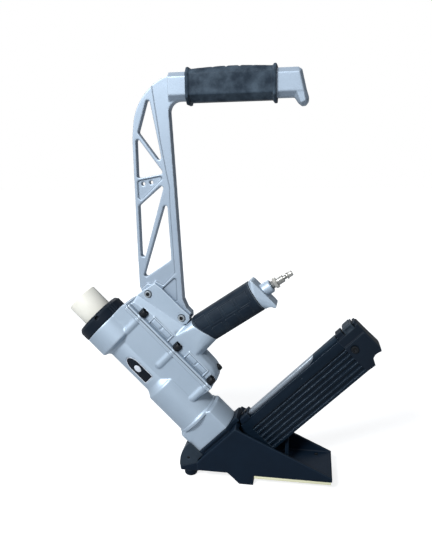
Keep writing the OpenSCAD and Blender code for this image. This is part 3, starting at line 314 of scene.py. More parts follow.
# Silver paint on sand-cast aluminium: the soft gloss of metal flakes, a faint orange peel, edges paled by
# wear and painted highlight, hollows darkened by painted shade with grime
SILVER_PAINT = Finish(
    "silver_paint_on_cast_aluminium", "#a5b5c5", "#97a8b9", "#dfe8f0", metallic=0.5, roughness=0.48,
    rough_swing=0.06, specular=0.26, patch_mm=55.0, grain_mm=1.3, grain_um=20.0, edge_wear_and_highlight=0.65, grime_and_crease_shade=0.95)
# The same paint on the arm, a separate casting: a tone darker and greyer; painted shade, with grime, darkens
# the corners of its windows
ARM_SILVER = Finish(
    "silver_paint_on_arm_casting", "#98a7b7", "#8b9aaa", "#d6dfe8", metallic=0.5, roughness=0.5,
    rough_swing=0.06, specular=0.24, patch_mm=60.0, grain_mm=1.3, grain_um=20.0, edge_wear_and_highlight=0.5, grime_and_crease_shade=1.0)
# Black textured paint on cast aluminium: dull, with edges lightened by rubbing and by painted highlight
BLACK_PAINT = Finish(
    "black_paint_on_cast_aluminium", "#0d1a28", "#0a141f", "#2c3b49", roughness=0.5, specular=0.09,
    patch_mm=40.0, grain_mm=1.1, grain_um=38.0, edge_wear_and_highlight=0.55)
# Black anodised extrusion: an even blue-black with a soft satin gloss
BLACK_ANODISED = Finish(
    "black_anodised_aluminium_extrusion", "#0b1723", "#0f1d2a", "#16242f", roughness=0.4,
    rough_swing=0.1, specular=0.1, patch_mm=30.0, grain_mm=0.9, grain_um=8.0, edge_wear_and_highlight=0.0, grime_and_crease_shade=0.0)
# The same extrusion on its bevelled corners: pale, a painted highlight together with handling that has
# thinned the black so that metal shines through
ANODISED_WORN_AND_LIT_EDGE = Finish(
    "anodised_extrusion_rubbed_and_highlit_edge", "#566572", "#2c3944", "#7a8894", metallic=0.3, roughness=0.42,
    rough_swing=0.06, specular=0.24, patch_mm=18.0, patch_share=0.9, grain_mm=0.8, grain_um=6.0,
    edge_wear_and_highlight=0.0, grime_and_crease_shade=0.0)
# Glass-filled nylon from a sparked mould: even matt, slightly grey on its edges from wear and painted
# highlight
BLACK_NYLON = Finish(
    "black_glass_filled_nylon_moulded", "#101a25", "#0c141d", "#35434f", roughness=0.5, specular=0.1,
    patch_mm=30.0, grain_mm=0.9, grain_um=22.0, edge_wear_and_highlight=0.5)
# The same nylon in dark grey, a tone lighter than the shoe
GREY_NYLON = Finish(
    "dark_grey_nylon_moulded", "#27323d", "#1e2730", "#56626c", roughness=0.46, specular=0.14,
    patch_mm=25.0, grain_mm=0.9, grain_um=22.0, edge_wear_and_highlight=0.45)
# Moulded rubber of the rear grip and the seals: near black, cloudy, paler along the edges of its pads with
# painted highlight and wear
GRIP_RUBBER = Finish(
    "black_grip_rubber_moulded", "#121d29", "#283541", "#8b99a5", roughness=0.58, rough_swing=0.12,
    specular=0.1, patch_mm=19.0, patch_share=0.45, grain_mm=0.8, grain_um=30.0, edge_wear_and_highlight=0.9, grime_and_crease_shade=0.95,
    sheen=0.03)
# The same rubber on the hand bar, paler and cloudier than on the rear grip
PALE_GRIP_RUBBER = Finish(
    "black_grip_rubber_pale", "#1a2734", "#4c5b69", "#5b6975", roughness=0.6, rough_swing=0.12,
    specular=0.12, patch_mm=21.0, patch_share=0.85, grain_mm=0.8, grain_um=30.0, edge_wear_and_highlight=0.35, grime_and_crease_shade=0.9,
    sheen=0.04)
# Denser rubber of the bumpers: even and dull
FOOT_RUBBER = Finish(
    "black_bumper_rubber", "#0e1823", "#16212c", "#2c3a46", roughness=0.6, specular=0.08, patch_mm=12.0,
    grain_mm=0.8)
# Turned nylon: ivory, faintly clouded, with a slightly waxy gloss
IVORY_NYLON = Finish(
    "ivory_nylon_turned", "#e2e2da", "#d6d5ca", "#ecebe5", roughness=0.42, specular=0.25, patch_mm=28.0,
    patch_share=0.6, grain_mm=1.6, grain_um=10.0, edge_wear_and_highlight=0.2, grime_and_crease_shade=0.15)
# Cream polyurethane sheet under the shoe: matt, faintly clouded
CREAM_PAD = Finish(
    "cream_polyurethane_sheet", "#dadbbd", "#cccba9", "#e6e6d0", roughness=0.5, specular=0.2, patch_mm=20.0,
    grain_mm=1.0, grain_um=18.0, edge_wear_and_highlight=0.1, grime_and_crease_shade=0.2)
# Blackened socket screws: dark oxide, a little oily
BLACK_OXIDE = Finish(
    "black_oxide_steel", "#0b1016", "#080c11", "#39434c", metallic=0.1, roughness=0.34, specular=0.25,
    patch_mm=5.0, grain_mm=0.7, grain_um=10.0, edge_wear_and_highlight=0.0, grime_and_crease_shade=0.0)
# Zinc plated bolt heads: grey and a little dull, seen as bright rings in their wells
ZINC_PLATE = Finish(
    "zinc_plated_steel", "#9aa2a8", "#828a91", "#cfd5da", metallic=0.8, roughness=0.34, rough_swing=0.08,
    patch_mm=4.0, grain_mm=0.7, grain_um=8.0, edge_wear_and_highlight=0.0, grime_and_crease_shade=0.0)
# Plain machined steel: bright grey with a fine even grain
BARE_STEEL = Finish(
    "machined_steel", "#a9b0b6", "#8e969d", "#d9dee2", metallic=1.0, roughness=0.3, rough_swing=0.1,
    patch_mm=12.0, grain_mm=0.8, grain_um=6.0, edge_wear_and_highlight=0.3)
# Brushed strip on top of the magazine: blue-grey, with a broken, clouded gloss
BRUSHED_STEEL = Finish(
    "brushed_steel_strip", "#7f8c9b", "#6a7888", "#c5d0da", metallic=0.9, roughness=0.4, rough_swing=0.14,
    patch_mm=22.0, grain_mm=0.9, grain_um=8.0, edge_wear_and_highlight=0.4)
# Nickel plated plug: bright, with the brownish tone of old plating in places
NICKEL = Finish(
    "nickel_plated_steel", "#a3a5a4", "#77756f", "#e4e1d8", metallic=1.0, roughness=0.2, rough_swing=0.06,
    patch_mm=6.0, grain_mm=0.7, grain_um=4.0, edge_wear_and_highlight=0.5, grime_and_crease_shade=0.8)
# Turned aluminium of the piston: pale and satin
ALUMINIUM = Finish(
    "turned_aluminium", "#c2c6ca", "#adb2b7", "#e2e5e8", metallic=1.0, roughness=0.32, grain_mm=0.8,
    grain_um=6.0)
# Turned acetal: waxy and off-white
ACETAL = Finish(
    "acetal_turned", "#d6d0c0", "#c8c2b0", "#e6e2d6", roughness=0.4, grain_mm=0.9, grain_um=8.0)
# Sintered bronze beads: warm and grainy
BRONZE = Finish(
    "sintered_bronze", "#9a7540", "#7d5c2f", "#c8a264", metallic=1.0, roughness=0.55, grain_mm=0.8,
    grain_um=60.0)
# Pressed fibre sheet, seen only as a thin grey line at a seam
GASKET_FIBRE = Finish(
    "gasket_fibre_sheet", "#66727d", "#56616b", "#77838d", roughness=0.8, specular=0.2, grain_mm=0.8,
    grain_um=20.0)
# Dark label laminate: the glossiest of the black surfaces, left plain
LABEL = Finish(
    "dark_label_laminate", "#09111b", "#0c1520", "#27323e", roughness=0.25, specular=0.15, patch_mm=30.0,
    grain_mm=1.5, grain_um=2.0, edge_wear_and_highlight=0.1)
# Pale field and rim of the label: light blue-grey and smooth, without any print
LABEL_LIGHT = Finish(
    "light_label_laminate", "#c9d1dd", "#bcc5d2", "#e3e8ee", roughness=0.3, patch_mm=6.0, grain_mm=1.2,
    grain_um=2.0)


@dataclass(frozen=True)
class Fillets:
    """Where a casting has wide fillets, and how wide.

    Attributes:
        share: Says for a point how far the fillets reach it, from 0 to 1.
        passes: Smoothing passes, which grow with the square of the radius.
    """

    share: Callable[[Vector], float]
    passes: int


@dataclass
class Softener:
    """Copies CAD solids into pieces with the edges that the real ones have.

    Attributes:
        voxel_mm: Cell of a cast surface.
        passes: Smoothing passes of a cast surface, each about half a cell.
        keep_share: Share of the faces that stay on a cast surface.
        bevel_mm: Width of a machined edge.
        flat_degrees: Faces that meet at less than this are one flat face.
        bevel_degrees: Edges sharper than this get the bevel.
        sharp_degrees: Edges sharper than this stay hard in the shading.
    """

    voxel_mm: float = 0.9
    passes: int = 5
    keep_share: float = 0.45
    bevel_mm: float = 0.4
    flat_degrees: float = 1.0
    bevel_degrees: float = 38.0
    sharp_degrees: float = 32.0

    def piece(self, node: str, name: str, edge: Edge, finish: Finish, bevel_mm: float | None = None,
              voxel_mm: float | None = None, passes: int | None = None, keep_share: float | None = None,
              rim: Finish | None = None, fillets: Fillets | None = None) -> bpy.types.Object:
        """Makes the piece that stands for a CAD node.

        Args:
            node: Name of the CAD node.
            name: Name of the new piece.
            edge: How its edges were made.
            finish: Its finish.
            bevel_mm: Width of a machined edge, where it isn't the usual one.
            voxel_mm: Cell of a cast surface, likewise.
            passes: Smoothing passes of a cast surface, likewise.
            keep_share: Share of the faces that stay on a cast surface, likewise.
            rim: Finish of the bevelled edges of a machined piece, its own finish by default.
            fillets: Wide fillets of a cast surface.

        Returns:
            The new piece, riding on the node's body.
        """
        body = frame["nodes"][node]["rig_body"]
        piece = bpy.data.objects.new(name, self._clean_mesh(node, name))
        bpy.context.scene.collection.objects.link(piece)
        if edge is Edge.CAST:
            self._cast(piece, voxel_mm or self.voxel_mm, passes or self.passes, keep_share or self.keep_share,
                       fillets)
        else:
            self._machined(piece, bevel_mm or self.bevel_mm, rim is not None)
        dress(piece, finish, rim)
        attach(piece, body)
        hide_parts(node)
        LOG.info("%s stands for %s: %d faces", name, node, len(piece.data.polygons))
        return piece

    @staticmethod
    def _clean_mesh(node: str, name: str) -> bpy.types.Mesh:
        """Copies a node's mesh with its doubles merged.

        Args:
            node: Name of the CAD node.
            name: Name of the new mesh.

        Returns:
            The closed copy.
        """
        mesh = bpy.data.meshes.new(name)
        cells = bmesh.new()
        cells.from_mesh(frame["nodes"][node].data)
        bmesh.ops.remove_doubles(cells, verts=cells.verts, dist=WELD)
        for face in cells.faces:
            face.smooth = False
        cells.to_mesh(mesh)
        cells.free()
        mesh.materials.clear()
        return mesh

    @staticmethod
    def _apply(piece: bpy.types.Object) -> None:
        """Bakes the piece's modifiers into its mesh.

        Args:
            piece: Piece to change.
        """
        shaped = bpy.data.meshes.new_from_object(piece.evaluated_get(bpy.context.evaluated_depsgraph_get()))
        old = piece.data
        piece.modifiers.clear()
        piece.data = shaped
        bpy.data.meshes.remove(old)

    def _cast(self, piece: bpy.types.Object, voxel_mm: float, passes: int, keep_share: float,
              fillets: Fillets | None) -> None:
        """Rounds every edge and corner as a casting or moulding has them.

        Args:
            piece: Piece to change.
            voxel_mm: Cell of the new surface.
            passes: Smoothing passes, each about half a cell.
            keep_share: Share of the faces that stay.
            fillets: Wide fillets, if it has some.
        """
        remesh = piece.modifiers.new("cells", "REMESH")
        remesh.mode = "VOXEL"
        remesh.voxel_size = voxel_mm * MM
        remesh.adaptivity = 0.0
        self._smooth(piece, "rounding", passes)
        if fillets is not None:
            self._apply(piece)
            group = piece.vertex_groups.new(name="fillets")
            for vertex in piece.data.vertices:
                share = fillets.share(vertex.co)
                if share > 0.0:
                    group.add([vertex.index], share, "REPLACE")
            self._smooth(piece, "wide_fillets", fillets.passes).vertex_group = group.name
        if keep_share < 1.0:
            thin = piece.modifiers.new("fewer", "DECIMATE")
            thin.ratio = keep_share
        self._apply(piece)
        for polygon in piece.data.polygons:
            polygon.use_smooth = True

    @staticmethod
    def _smooth(piece: bpy.types.Object, name: str, passes: int) -> bpy.types.Modifier:
        """Adds smoothing, each pass of which takes a point half way to the middle of its neighbours.

        Args:
            piece: Piece to change.
            name: Name of the modifier.
            passes: How many passes.

        Returns:
            The modifier.
        """
        smooth = piece.modifiers.new(name, "SMOOTH")
        smooth.factor = 0.5
        smooth.iterations = passes
        return smooth

    def _machined(self, piece: bpy.types.Object, bevel_mm: float, own_rim: bool) -> None:
        """Breaks the sharp edges with a small bevel.

        Args:
            piece: Piece to change.
            bevel_mm: Width of the bevel.
            own_rim: Whether the bevel takes the second finish.
        """
        cells = bmesh.new()
        cells.from_mesh(piece.data)
        bmesh.ops.dissolve_limit(
            cells, angle_limit=math.radians(self.flat_degrees), verts=cells.verts, edges=cells.edges,
            delimit={"NORMAL"})
        cells.to_mesh(piece.data)
        cells.free()
        bevel = piece.modifiers.new("edges", "BEVEL")
        bevel.width = bevel_mm * MM
        bevel.segments = 2
        bevel.limit_method = "ANGLE"
        bevel.angle_limit = math.radians(self.bevel_degrees)
        bevel.use_clamp_overlap = True
        if own_rim:
            piece.data.materials.append(None)
            piece.data.materials.append(None)
            bevel.material = 1
        self._apply(piece)
        for polygon in piece.data.polygons:
            polygon.use_smooth = True
        piece.data.set_sharp_from_angle(angle=math.radians(self.sharp_degrees))


def dress(piece: bpy.types.Object, finish: Finish, rim: Finish | None = None) -> None:
    """Gives a piece its finish, and one for the faces of its second material.

    Args:
        piece: Piece to dress.
        finish: Finish of the piece.
        rim: Finish of its second material, if it has one.
    """
    indices = [polygon.material_index for polygon in piece.data.polygons]
    piece.data.materials.clear()
    piece.data.materials.append(finish.material())
    if rim is not None:
        piece.data.materials.append(rim.material())
        piece.data.polygons.foreach_set("material_index", [min(i, 1) for i in indices])


def paint_socket_shade(piece: bpy.types.Object, reach_mm: float, depth_mm: float, finish: Finish) -> None:
    """Paints the deep shade of the hexagon sockets of near-side bolts, as a dark finish of their own.

    Args:
        piece: Piece with one island of faces for each bolt, their axes along Y.
        reach_mm: Largest distance of a socket's corner from its axis.
        depth_mm: Depth of the head and its socket from the nearest point of the bolt.
        finish: Dark finish that paints the shade in the sockets.
    """
    mesh = piece.data
    mesh.materials.append(finish.material())
    for island in islands(mesh):
        points = [mesh.vertices[v].co for face in island for v in mesh.polygons[face].vertices]
        middle_x = (min(p.x for p in points) + max(p.x for p in points)) / 2
        middle_z = (min(p.z for p in points) + max(p.z for p in points)) / 2
        near = min(p.y for p in points)
        for face in island:
            corners = [mesh.vertices[v].co for v in mesh.polygons[face].vertices]
            inside = all(math.hypot(c.x - middle_x, c.z - middle_z) < reach_mm * MM for c in corners)
            if inside and all(c.y < near + depth_mm * MM for c in corners):
                mesh.polygons[face].material_index = 1


def islands(mesh: bpy.types.Mesh) -> list[list[int]]:
    """Groups the faces of a mesh by what hangs together.

    Args:
        mesh: Mesh to look through.

    Returns:
        Indices of the faces, one list for each island.
    """
    cells = bmesh.new()
    cells.from_mesh(mesh)
    cells.faces.ensure_lookup_table()
    left, groups = set(range(len(cells.faces))), []
    while left:
        group, waiting = [], [left.pop()]
        while waiting:
            face = waiting.pop()
            group.append(face)
            for edge in cells.faces[face].edges:
                for other in edge.link_faces:
                    if other.index in left:
                        left.remove(other.index)
                        waiting.append(other.index)
        groups.append(group)
    cells.free()
    return groups


def dress_node(node: str, finish: Finish) -> None:
    """Gives a CAD node that stays in view its finish.

    Args:
        node: Name of the node.
        finish: Its finish.
    """
    shown = frame["nodes"][node]
    shown.data.materials.clear()
    shown.data.materials.append(finish.material())


def wire(name: str, points: Sequence[Vector], radius_mm: float, closed: bool, body: str,
         finish: Finish) -> bpy.types.Object:
    """Makes a round wire along points.

    Args:
        name: Name of the piece.
        points: Points of the path, in metres.
        radius_mm: Radius of the wire.
        closed: Whether the path closes.
        body: Body that it rides on.
        finish: Its finish.

    Returns:
        The new mesh piece.
    """
    curve = bpy.data.curves.new(name, "CURVE")
    curve.dimensions = "3D"
    curve.bevel_depth = radius_mm * MM
    curve.bevel_resolution = 3
    spline = curve.splines.new("POLY")
    spline.points.add(len(points) - 1)
    for target, point in zip(spline.points, points):
        target.co = (point.x, point.y, point.z, 1.0)
    spline.use_cyclic_u = closed
    holder = bpy.data.objects.new(name + "_path", curve)
    bpy.context.scene.collection.objects.link(holder)
    mesh = bpy.data.meshes.new_from_object(holder.evaluated_get(bpy.context.evaluated_depsgraph_get()))
    bpy.data.objects.remove(holder)
    bpy.data.curves.remove(curve)
    piece = bpy.data.objects.new(name, mesh)
    bpy.context.scene.collection.objects.link(piece)
    for polygon in mesh.polygons:
        polygon.use_smooth = True
    dress(piece, finish)
    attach(piece, body)
    return piece


@dataclass
class Shoe:
    """The black shoe with its pad, bumpers, guard, nose flange and the steel guides of the blade."""

    soft: Softener = field(default_factory=lambda: Softener(voxel_mm=1.0, passes=3))

    def build(self) -> None:
        """Builds and dresses the pieces of the shoe."""
        self.soft.piece("shoe", "shoe_casting", Edge.CAST, BLACK_PAINT)
        self.soft.piece("front_guard", "front_guard_shell", Edge.CAST, GREY_NYLON, voxel_mm=0.8)
        self.soft.piece("nose_flange", "nose_flange_casting", Edge.CAST, BLACK_PAINT, voxel_mm=0.8)
        self.soft.piece("foot_bumpers", "foot_bumper_pair", Edge.CAST, FOOT_RUBBER, voxel_mm=0.7)
        self.soft.piece("base_pad", "base_pad_sheet", Edge.MACHINED, CREAM_PAD, bevel_mm=0.5)
        self.soft.piece("pad_screws", "pad_screw_set", Edge.MACHINED, BLACK_OXIDE, bevel_mm=0.3)
        self.soft.piece("guard_pin", "guard_pin_steel", Edge.MACHINED, BLACK_OXIDE)
        self.soft.piece("nose_screws", "nose_screw_set", Edge.MACHINED, BLACK_OXIDE)
        for node in ("driver_guide_front", "driver_guide_rear"):
            self.soft.piece(node, node + "_steel", Edge.MACHINED, BARE_STEEL)


@dataclass
class Housings:
    """The cylinder housing and the handle housing, bolted along their seam, with the name plate.

    Places are in millimetres, across (u) and along (v) the drive axis or off the middle plane (y).

    Attributes:
        soft: How its pieces are softened.
        rim_mm: Radius of the name plate's rim.
        seam_u: Where the two housings meet.
        plate_v: Ends of the name plate.
        plate_half: Half its width.
        pocket_u: Outer side of the pockets beside the seam.
        ear_y: Inner side of the ears that hold the arm.
        ear_v: Where the ears start.
        plug_v: Middle of the screw plug.
        plug_reach: Reach of the flat round it.
        grip_origin: Point on the grip's axis, both across and along.
        grip_tilt: Lean of the grip, in degrees.
        grip_start: Where the rubber starts, along the grip.
        body_passes: Smoothing passes of the cylinder housing's fillets.
        neck_passes: Smoothing passes of the wide fillets between pockets, ears and grip.
        blend_u: Width over which a fillet fades out, across the drive axis.
        blend_y: The same towards an ear.
        blend_grip: The same towards the rubber.
        same_way: Least cosine of faces that look the plate's way.
        plate_skin: Depth under the plate's top that still counts as its top.
    """

    soft: Softener = field(default_factory=lambda: Softener(voxel_mm=0.62, passes=3, keep_share=0.3))
    rim_mm: float = 0.45
    seam_u: float = 46.0
    plate_v: Span = (203.0, 263.0)
    plate_half: float = 16.0
    pocket_u: float = 70.0
    ear_y: float = 14.6
    ear_v: float = 230.0
    plug_v: float = 151.5
    plug_reach: float = 9.0
    grip_origin: float = 190.0
    grip_tilt: float = 11.0
    grip_start: float = -90.5
    body_passes: int = 14
    neck_passes: int = 70
    blend_u: float = 3.0
    blend_y: float = 2.0
    blend_grip: float = 5.0
    same_way: float = 0.999
    plate_skin: float = 0.05

    def build(self) -> None:
        """Builds and dresses the housings."""
        self.soft.piece("cylinder_housing", "cylinder_casting", Edge.CAST, SILVER_PAINT,
                        fillets=Fillets(self._body_share, self.body_passes))
        self.soft.piece("handle_housing", "handle_casting", Edge.CAST, SILVER_PAINT,
                        fillets=Fillets(self._neck_share, self.neck_passes))
        self.soft.piece("housing_bolts", "housing_bolt_set", Edge.MACHINED, BLACK_OXIDE, bevel_mm=0.6)
        self.soft.piece("housing_plug", "housing_plug_screw", Edge.MACHINED, BLACK_OXIDE, bevel_mm=0.6)
        self.soft.piece("nameplate", "name_plate_blank", Edge.MACHINED, LABEL, bevel_mm=0.3)
        self.soft.piece("nameplate_badge", "name_plate_oval", Edge.MACHINED, LABEL_LIGHT, bevel_mm=0.2)
        dress_node("housing_gasket", GASKET_FIBRE)
        self._plate_rim()

    def _body_share(self, point: Vector) -> float:
        """Finds how far the fillets of the cylinder housing reach a point.

        They are all over it, but for the ridges at the seam and the name plate's recess.

        Args:
            point: Point of the housing, in metres.

        Returns:
            The share, from 0 to 1.
        """
        u, v = along_drive(point)
        by_plate = abs(u) < self.plate_half and self.plate_v[0] < v < self.plate_v[1]
        return 0.0 if by_plate else 1.0 - ramp(u, self.seam_u - self.blend_u, self.seam_u)

    def _neck_share(self, point: Vector) -> float:
        """Finds how far the fillets of the handle housing reach a point.

        They go from the pockets out to the ears, the grip and the plug.

        Args:
            point: Point of the housing, in metres.

        Returns:
            The share, from 0 to 1.
        """
        u, v = along_drive(point)
        y = abs(point.y / MM)
        share = ramp(u, self.pocket_u, self.pocket_u + self.blend_u)
        if v > self.ear_v:
            share *= ramp(y, self.ear_y, self.ear_y + self.blend_y)
        if math.hypot(v - self.plug_v, y) < self.plug_reach:
            return 0.0
        lean = math.radians(self.grip_tilt)
        du, dv = u - self.grip_origin, v - self.grip_origin
        along = du * math.cos(lean) - dv * math.sin(lean)
        across = du * math.sin(lean) + dv * math.cos(lean)
        return share * ramp(self.grip_start - across / 2 - along, 0.0, self.blend_grip)

    def _plate_rim(self) -> None:
        """Lays the thin light rim round the name plate, on its outermost edge loop."""
        cells = bmesh.new()
        cells.from_mesh(frame["nodes"]["nameplate"].data)
        bmesh.ops.remove_doubles(cells, verts=cells.verts, dist=WELD)
        normal = max((f for f in cells.faces if f.normal.y < 0), key=lambda f: f.calc_area()).normal.copy()
        top = max(v.co.dot(normal) for v in cells.verts) - self.plate_skin * MM
        alike = (f for f in cells.faces if f.normal.dot(normal) > self.same_way)
        faces = {f for f in alike if f.verts[0].co.dot(normal) > top}
        edges = [e for e in cells.edges if sum(f in faces for f in e.link_faces) == 1]
        loop = ordered_loop(edges)
        cells.free()
        wire("name_plate_rim", loop, self.rim_mm, True, "frame", LABEL_LIGHT)


def ordered_loop(edges: Iterable[bmesh.types.BMEdge]) -> list[Vector]:
    """Puts the vertices of one closed loop of edges in order.

    Args:
        edges: Edges of the loop.

    Returns:
        Its points, each once.
    """
    following: dict[int, list[bmesh.types.BMVert]] = {}
    for edge in edges:
        for here, there in (edge.verts, reversed(edge.verts)):
            following.setdefault(here.index, []).append(there)
    start = next(iter(edges)).verts[0]
    points, last, here = [start.co.copy()], None, start
    while True:
        step = next(v for v in following[here.index] if v is not last)
        if step is start:
            return points
        points.append(step.co.copy())
        last, here = here, step


@dataclass
class Grips:
    """The two rubber grips."""

    soft: Softener = field(default_factory=lambda: Softener(voxel_mm=0.5, passes=2))

    def build(self) -> None:
        """Builds and dresses the grips."""
        self.soft.piece("rear_grip", "rear_grip_rubber", Edge.CAST, GRIP_RUBBER)
        self.soft.piece("top_grip", "top_grip_rubber", Edge.CAST, PALE_GRIP_RUBBER, voxel_mm=0.8, passes=10)


@dataclass
class AirInlet:
    """The cap at the end of the grip and the air plug in it."""

    soft: Softener = field(default_factory=lambda: Softener(voxel_mm=0.6, passes=4))

    def build(self) -> None:
        """Builds and dresses the air inlet."""
        self.soft.piece("inlet_cap", "inlet_cap_casting", Edge.CAST, SILVER_PAINT)
        self.soft.piece("air_plug", "air_plug_turned", Edge.MACHINED, NICKEL, bevel_mm=0.45)
        dress_node("inlet_gasket", GASKET_FIBRE)
        dress_node("inlet_filter", BRONZE)


@dataclass
class StrikingHead:
    """The black head cap and the ivory cap that the mallet strikes, with what is under them."""

    soft: Softener = field(default_factory=lambda: Softener(voxel_mm=0.6, passes=3))

    def build(self) -> None:
        """Builds and dresses the striking head and the air drive in it."""
        self.soft.piece("head_cap", "head_cap_moulding", Edge.CAST, BLACK_NYLON)
        self.soft.piece("ram_cap", "ram_cap_nylon", Edge.MACHINED, IVORY_NYLON, bevel_mm=0.8)
        for node, finish in (
                ("ram_stem", BARE_STEEL), ("ram_spring", BARE_STEEL), ("valve_spring", BARE_STEEL),
                ("head_valve", ACETAL), ("head_seal", GRIP_RUBBER), ("piston", ALUMINIUM),
                ("piston_ring", GRIP_RUBBER), ("piston_bumper", FOOT_RUBBER), ("cylinder_sleeve", BARE_STEEL),
                ("sleeve_orings", FOOT_RUBBER), ("driver_blade", BARE_STEEL)):
            dress_node(node, finish)


@dataclass
class Arm:
    """The arm casting with its bolts and nuts.

    Attributes:
        soft: How its pieces are softened.
        socket_reach_mm: Largest distance of a socket's corner from the bolt's axis.
        head_mm: Height of a bolt's head.
    """

    soft: Softener = field(default_factory=lambda: Softener(voxel_mm=0.7, passes=3))
    socket_reach_mm: float = 3.4
    head_mm: float = 4.0

    def build(self) -> None:
        """Builds and dresses the arm."""
        self.soft.piece("arm_frame", "arm_casting", Edge.CAST, ARM_SILVER, passes=7, keep_share=0.6)
        bolts = self.soft.piece("arm_bolts", "arm_bolt_set", Edge.MACHINED, ZINC_PLATE)
        # The deep sockets lie in shade: a black finish paints that shade into them
        paint_socket_shade(bolts, self.socket_reach_mm, self.head_mm, BLACK_OXIDE)
        self.soft.piece("arm_nuts", "arm_nut_set", Edge.MACHINED, ZINC_PLATE)


@dataclass
class Magazine:
    """The ribbed magazine with its rail, end cap, latch and pusher."""

    soft: Softener = field(default_factory=lambda: Softener(voxel_mm=0.7, passes=3))

    def build(self) -> None:
        """Builds and dresses the magazine."""
        # The bevels of the sides take the pale edge finish, a painted highlight with wear
        for side in ("near", "far"):
            self.soft.piece(f"magazine_{side}_side", f"magazine_{side}_extrusion", Edge.MACHINED,
                            BLACK_ANODISED, bevel_mm=0.5, rim=ANODISED_WORN_AND_LIT_EDGE)
        self.soft.piece("top_rail", "top_rail_strip", Edge.MACHINED, BRUSHED_STEEL)
        self.soft.piece("rail_cover", "rail_cover_strip", Edge.MACHINED, BLACK_PAINT)
        self.soft.piece("magazine_track", "magazine_track_strip", Edge.MACHINED, BARE_STEEL, bevel_mm=0.3)
        self.soft.piece("magazine_bracket", "magazine_bracket_casting", Edge.CAST, BLACK_PAINT)
        self.soft.piece("bracket_screws", "bracket_screw_pair", Edge.MACHINED, BLACK_OXIDE)
        self.soft.piece("magazine_end_cap", "end_cap_moulding", Edge.CAST, BLACK_NYLON)
        self.soft.piece("end_cap_bolt", "end_cap_bolt_steel", Edge.MACHINED, BLACK_OXIDE)
        self.soft.piece("latch_button", "latch_button_moulding", Edge.CAST, GREY_NYLON, voxel_mm=0.5)
        self.soft.piece("pusher", "pusher_plate", Edge.MACHINED, BARE_STEEL)
        dress_node("pusher_spring", BARE_STEEL)
        dress_node("latch_spring", BARE_STEEL)


@dataclass(frozen=True)
class Lamp:
    """A soft square lamp that faces the object.

    Attributes:
        name: Name of the lamp.
        place: Where it stands, in metres.
        size: Side of the lamp in metres.
        watts: Its power.
    """

    name: str
    place: tuple[float, float, float]
    size: float
    watts: float

    def build(self, target: Vector) -> None:
        """Adds the lamp.

        Args:
            target: Point that it faces.
        """
        light = bpy.data.lights.new(self.name, "AREA")
        light.shape = "SQUARE"
        light.size = self.size
        light.energy = self.watts
        lamp = bpy.data.objects.new(self.name, light)
        bpy.context.scene.collection.objects.link(lamp)
        place = Vector(self.place)
        lamp.location = place
        lamp.rotation_euler = (place - target).to_track_quat("Z", "Y").to_euler()


